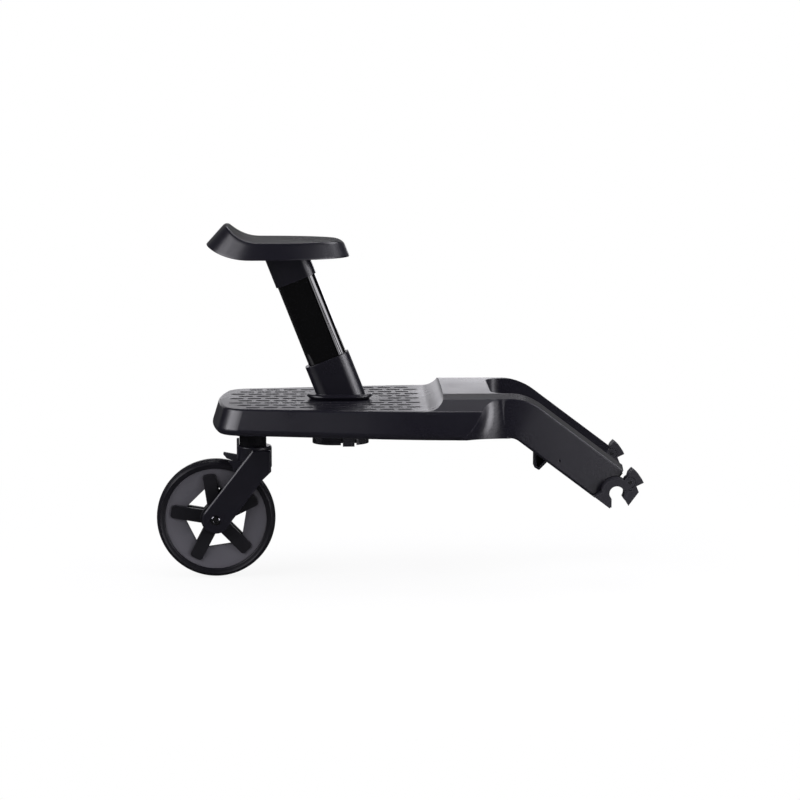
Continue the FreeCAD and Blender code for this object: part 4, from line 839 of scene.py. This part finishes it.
def makeWorld():
    world = bpy.data.worlds.new("whiteSweep")
    bpy.context.scene.world = world
    world.use_nodes = True
    tree = world.node_tree
    sky = tree.nodes["Background"]
    ray = put(tree, "ShaderNodeLightPath")
    way = put(tree, "ShaderNodeTexCoord")
    split = put(tree, "ShaderNodeSeparateXYZ")
    join(tree, way.outputs["Generated"], split.inputs["Vector"])
    # what polished faces see: a paler sweep behind the board, a dim room in front of it
    sweep = put(tree, "ShaderNodeMapRange", {
        "From Min": studio["sweepFrom"], "From Max": studio["sweepTo"],
        "To Min": studio["frontLevel"], "To Max": studio["backLevel"]}, interpolation_type="SMOOTHSTEP")
    join(tree, split.outputs["Y"], sweep.inputs["Value"])
    glossy = put(tree, "ShaderNodeMix", data_type="FLOAT")
    glossy.inputs["A"].default_value = studio["fillLevel"]
    join(tree, ray.outputs["Is Glossy Ray"], glossy.inputs["Factor"])
    join(tree, sweep.outputs["Result"], glossy.inputs["B"])
    seen = put(tree, "ShaderNodeMath", operation="MAXIMUM")
    join(tree, ray.outputs["Is Camera Ray"], seen.inputs[0])
    join(tree, ray.outputs["Is Transmission Ray"], seen.inputs[1])
    level = put(tree, "ShaderNodeMix", data_type="FLOAT")
    level.inputs["B"].default_value = 1.0
    join(tree, seen.outputs["Value"], level.inputs["Factor"])
    join(tree, glossy.outputs["Result"], level.inputs["A"])
    join(tree, level.outputs["Result"], sky.inputs["Strength"])
    sky.inputs["Color"].default_value = (1, 1, 1, 1)


def makeFloor():
    bm = bmesh.new()
    bmesh.ops.create_grid(bm, x_segments=1, y_segments=1, size=studio["floorHalf"])
    floor = addPiece("paleFloor", meshOf("paleFloor", bm))
    floor.data.transform(Matrix.Translation((0, 0, cadBox[0].z - studio["floorGap"])))
    material = bpy.data.materials.new("paleFloor")
    material.use_nodes = True
    tree = material.node_tree
    shader = tree.nodes["Principled BSDF"]
    tone = studio["floorColour"]
    shader.inputs["Base Color"].default_value = (tone, tone, tone, 1)
    shader.inputs["Roughness"].default_value = studio["floorRoughness"]
    shader.inputs["Specular IOR Level"].default_value = 0.0
    ray = put(tree, "ShaderNodeLightPath")
    side = put(tree, "ShaderNodeNewGeometry")
    glow = put(tree, "ShaderNodeEmission")
    # the floor goes over to plain white away from the board
    place = put(tree, "ShaderNodeTexCoord")
    reach = put(tree, "ShaderNodeVectorMath", operation="LENGTH")
    join(tree, place.outputs["Object"], reach.inputs[0])
    fade = put(tree, "ShaderNodeMapRange", {
        "From Min": studio["fadeFrom"], "From Max": studio["fadeTo"],
        "To Min": studio["floorGlow"], "To Max": 1.0}, interpolation_type="SMOOTHSTEP")
    join(tree, reach.outputs["Value"], fade.inputs["Value"])
    share = put(tree, "ShaderNodeMath", operation="MULTIPLY")
    join(tree, fade.outputs["Result"], share.inputs[1])
    join(tree, ray.outputs["Is Camera Ray"], share.inputs[0])
    lit = put(tree, "ShaderNodeMixShader")
    join(tree, share.outputs["Value"], lit.inputs["Fac"])
    join(tree, shader.outputs["BSDF"], lit.inputs[1])
    join(tree, glow.outputs["Emission"], lit.inputs[2])
    # polished faces see a dim floor
    dim = put(tree, "ShaderNodeEmission", {"Strength": studio["floorShine"]})
    shine = put(tree, "ShaderNodeMixShader")
    join(tree, ray.outputs["Is Glossy Ray"], shine.inputs["Fac"])
    join(tree, lit.outputs["Shader"], shine.inputs[1])
    join(tree, dim.outputs["Emission"], shine.inputs[2])
    # from below the floor lets the underside be seen
    clear = put(tree, "ShaderNodeBsdfTransparent")
    turn = put(tree, "ShaderNodeMixShader")
    join(tree, side.outputs["Backfacing"], turn.inputs["Fac"])
    join(tree, shine.outputs["Shader"], turn.inputs[1])
    join(tree, clear.outputs["BSDF"], turn.inputs[2])
    join(tree, turn.outputs["Shader"], tree.nodes["Material Output"].inputs["Surface"])
    floor.data.materials.append(material)


makeCamera()
makeLamps()
makeWorld()
makeFloor()
bpy.context.scene.view_settings.view_transform = "Standard"
print("studio:", len(studio["lamps"]), "lamps")
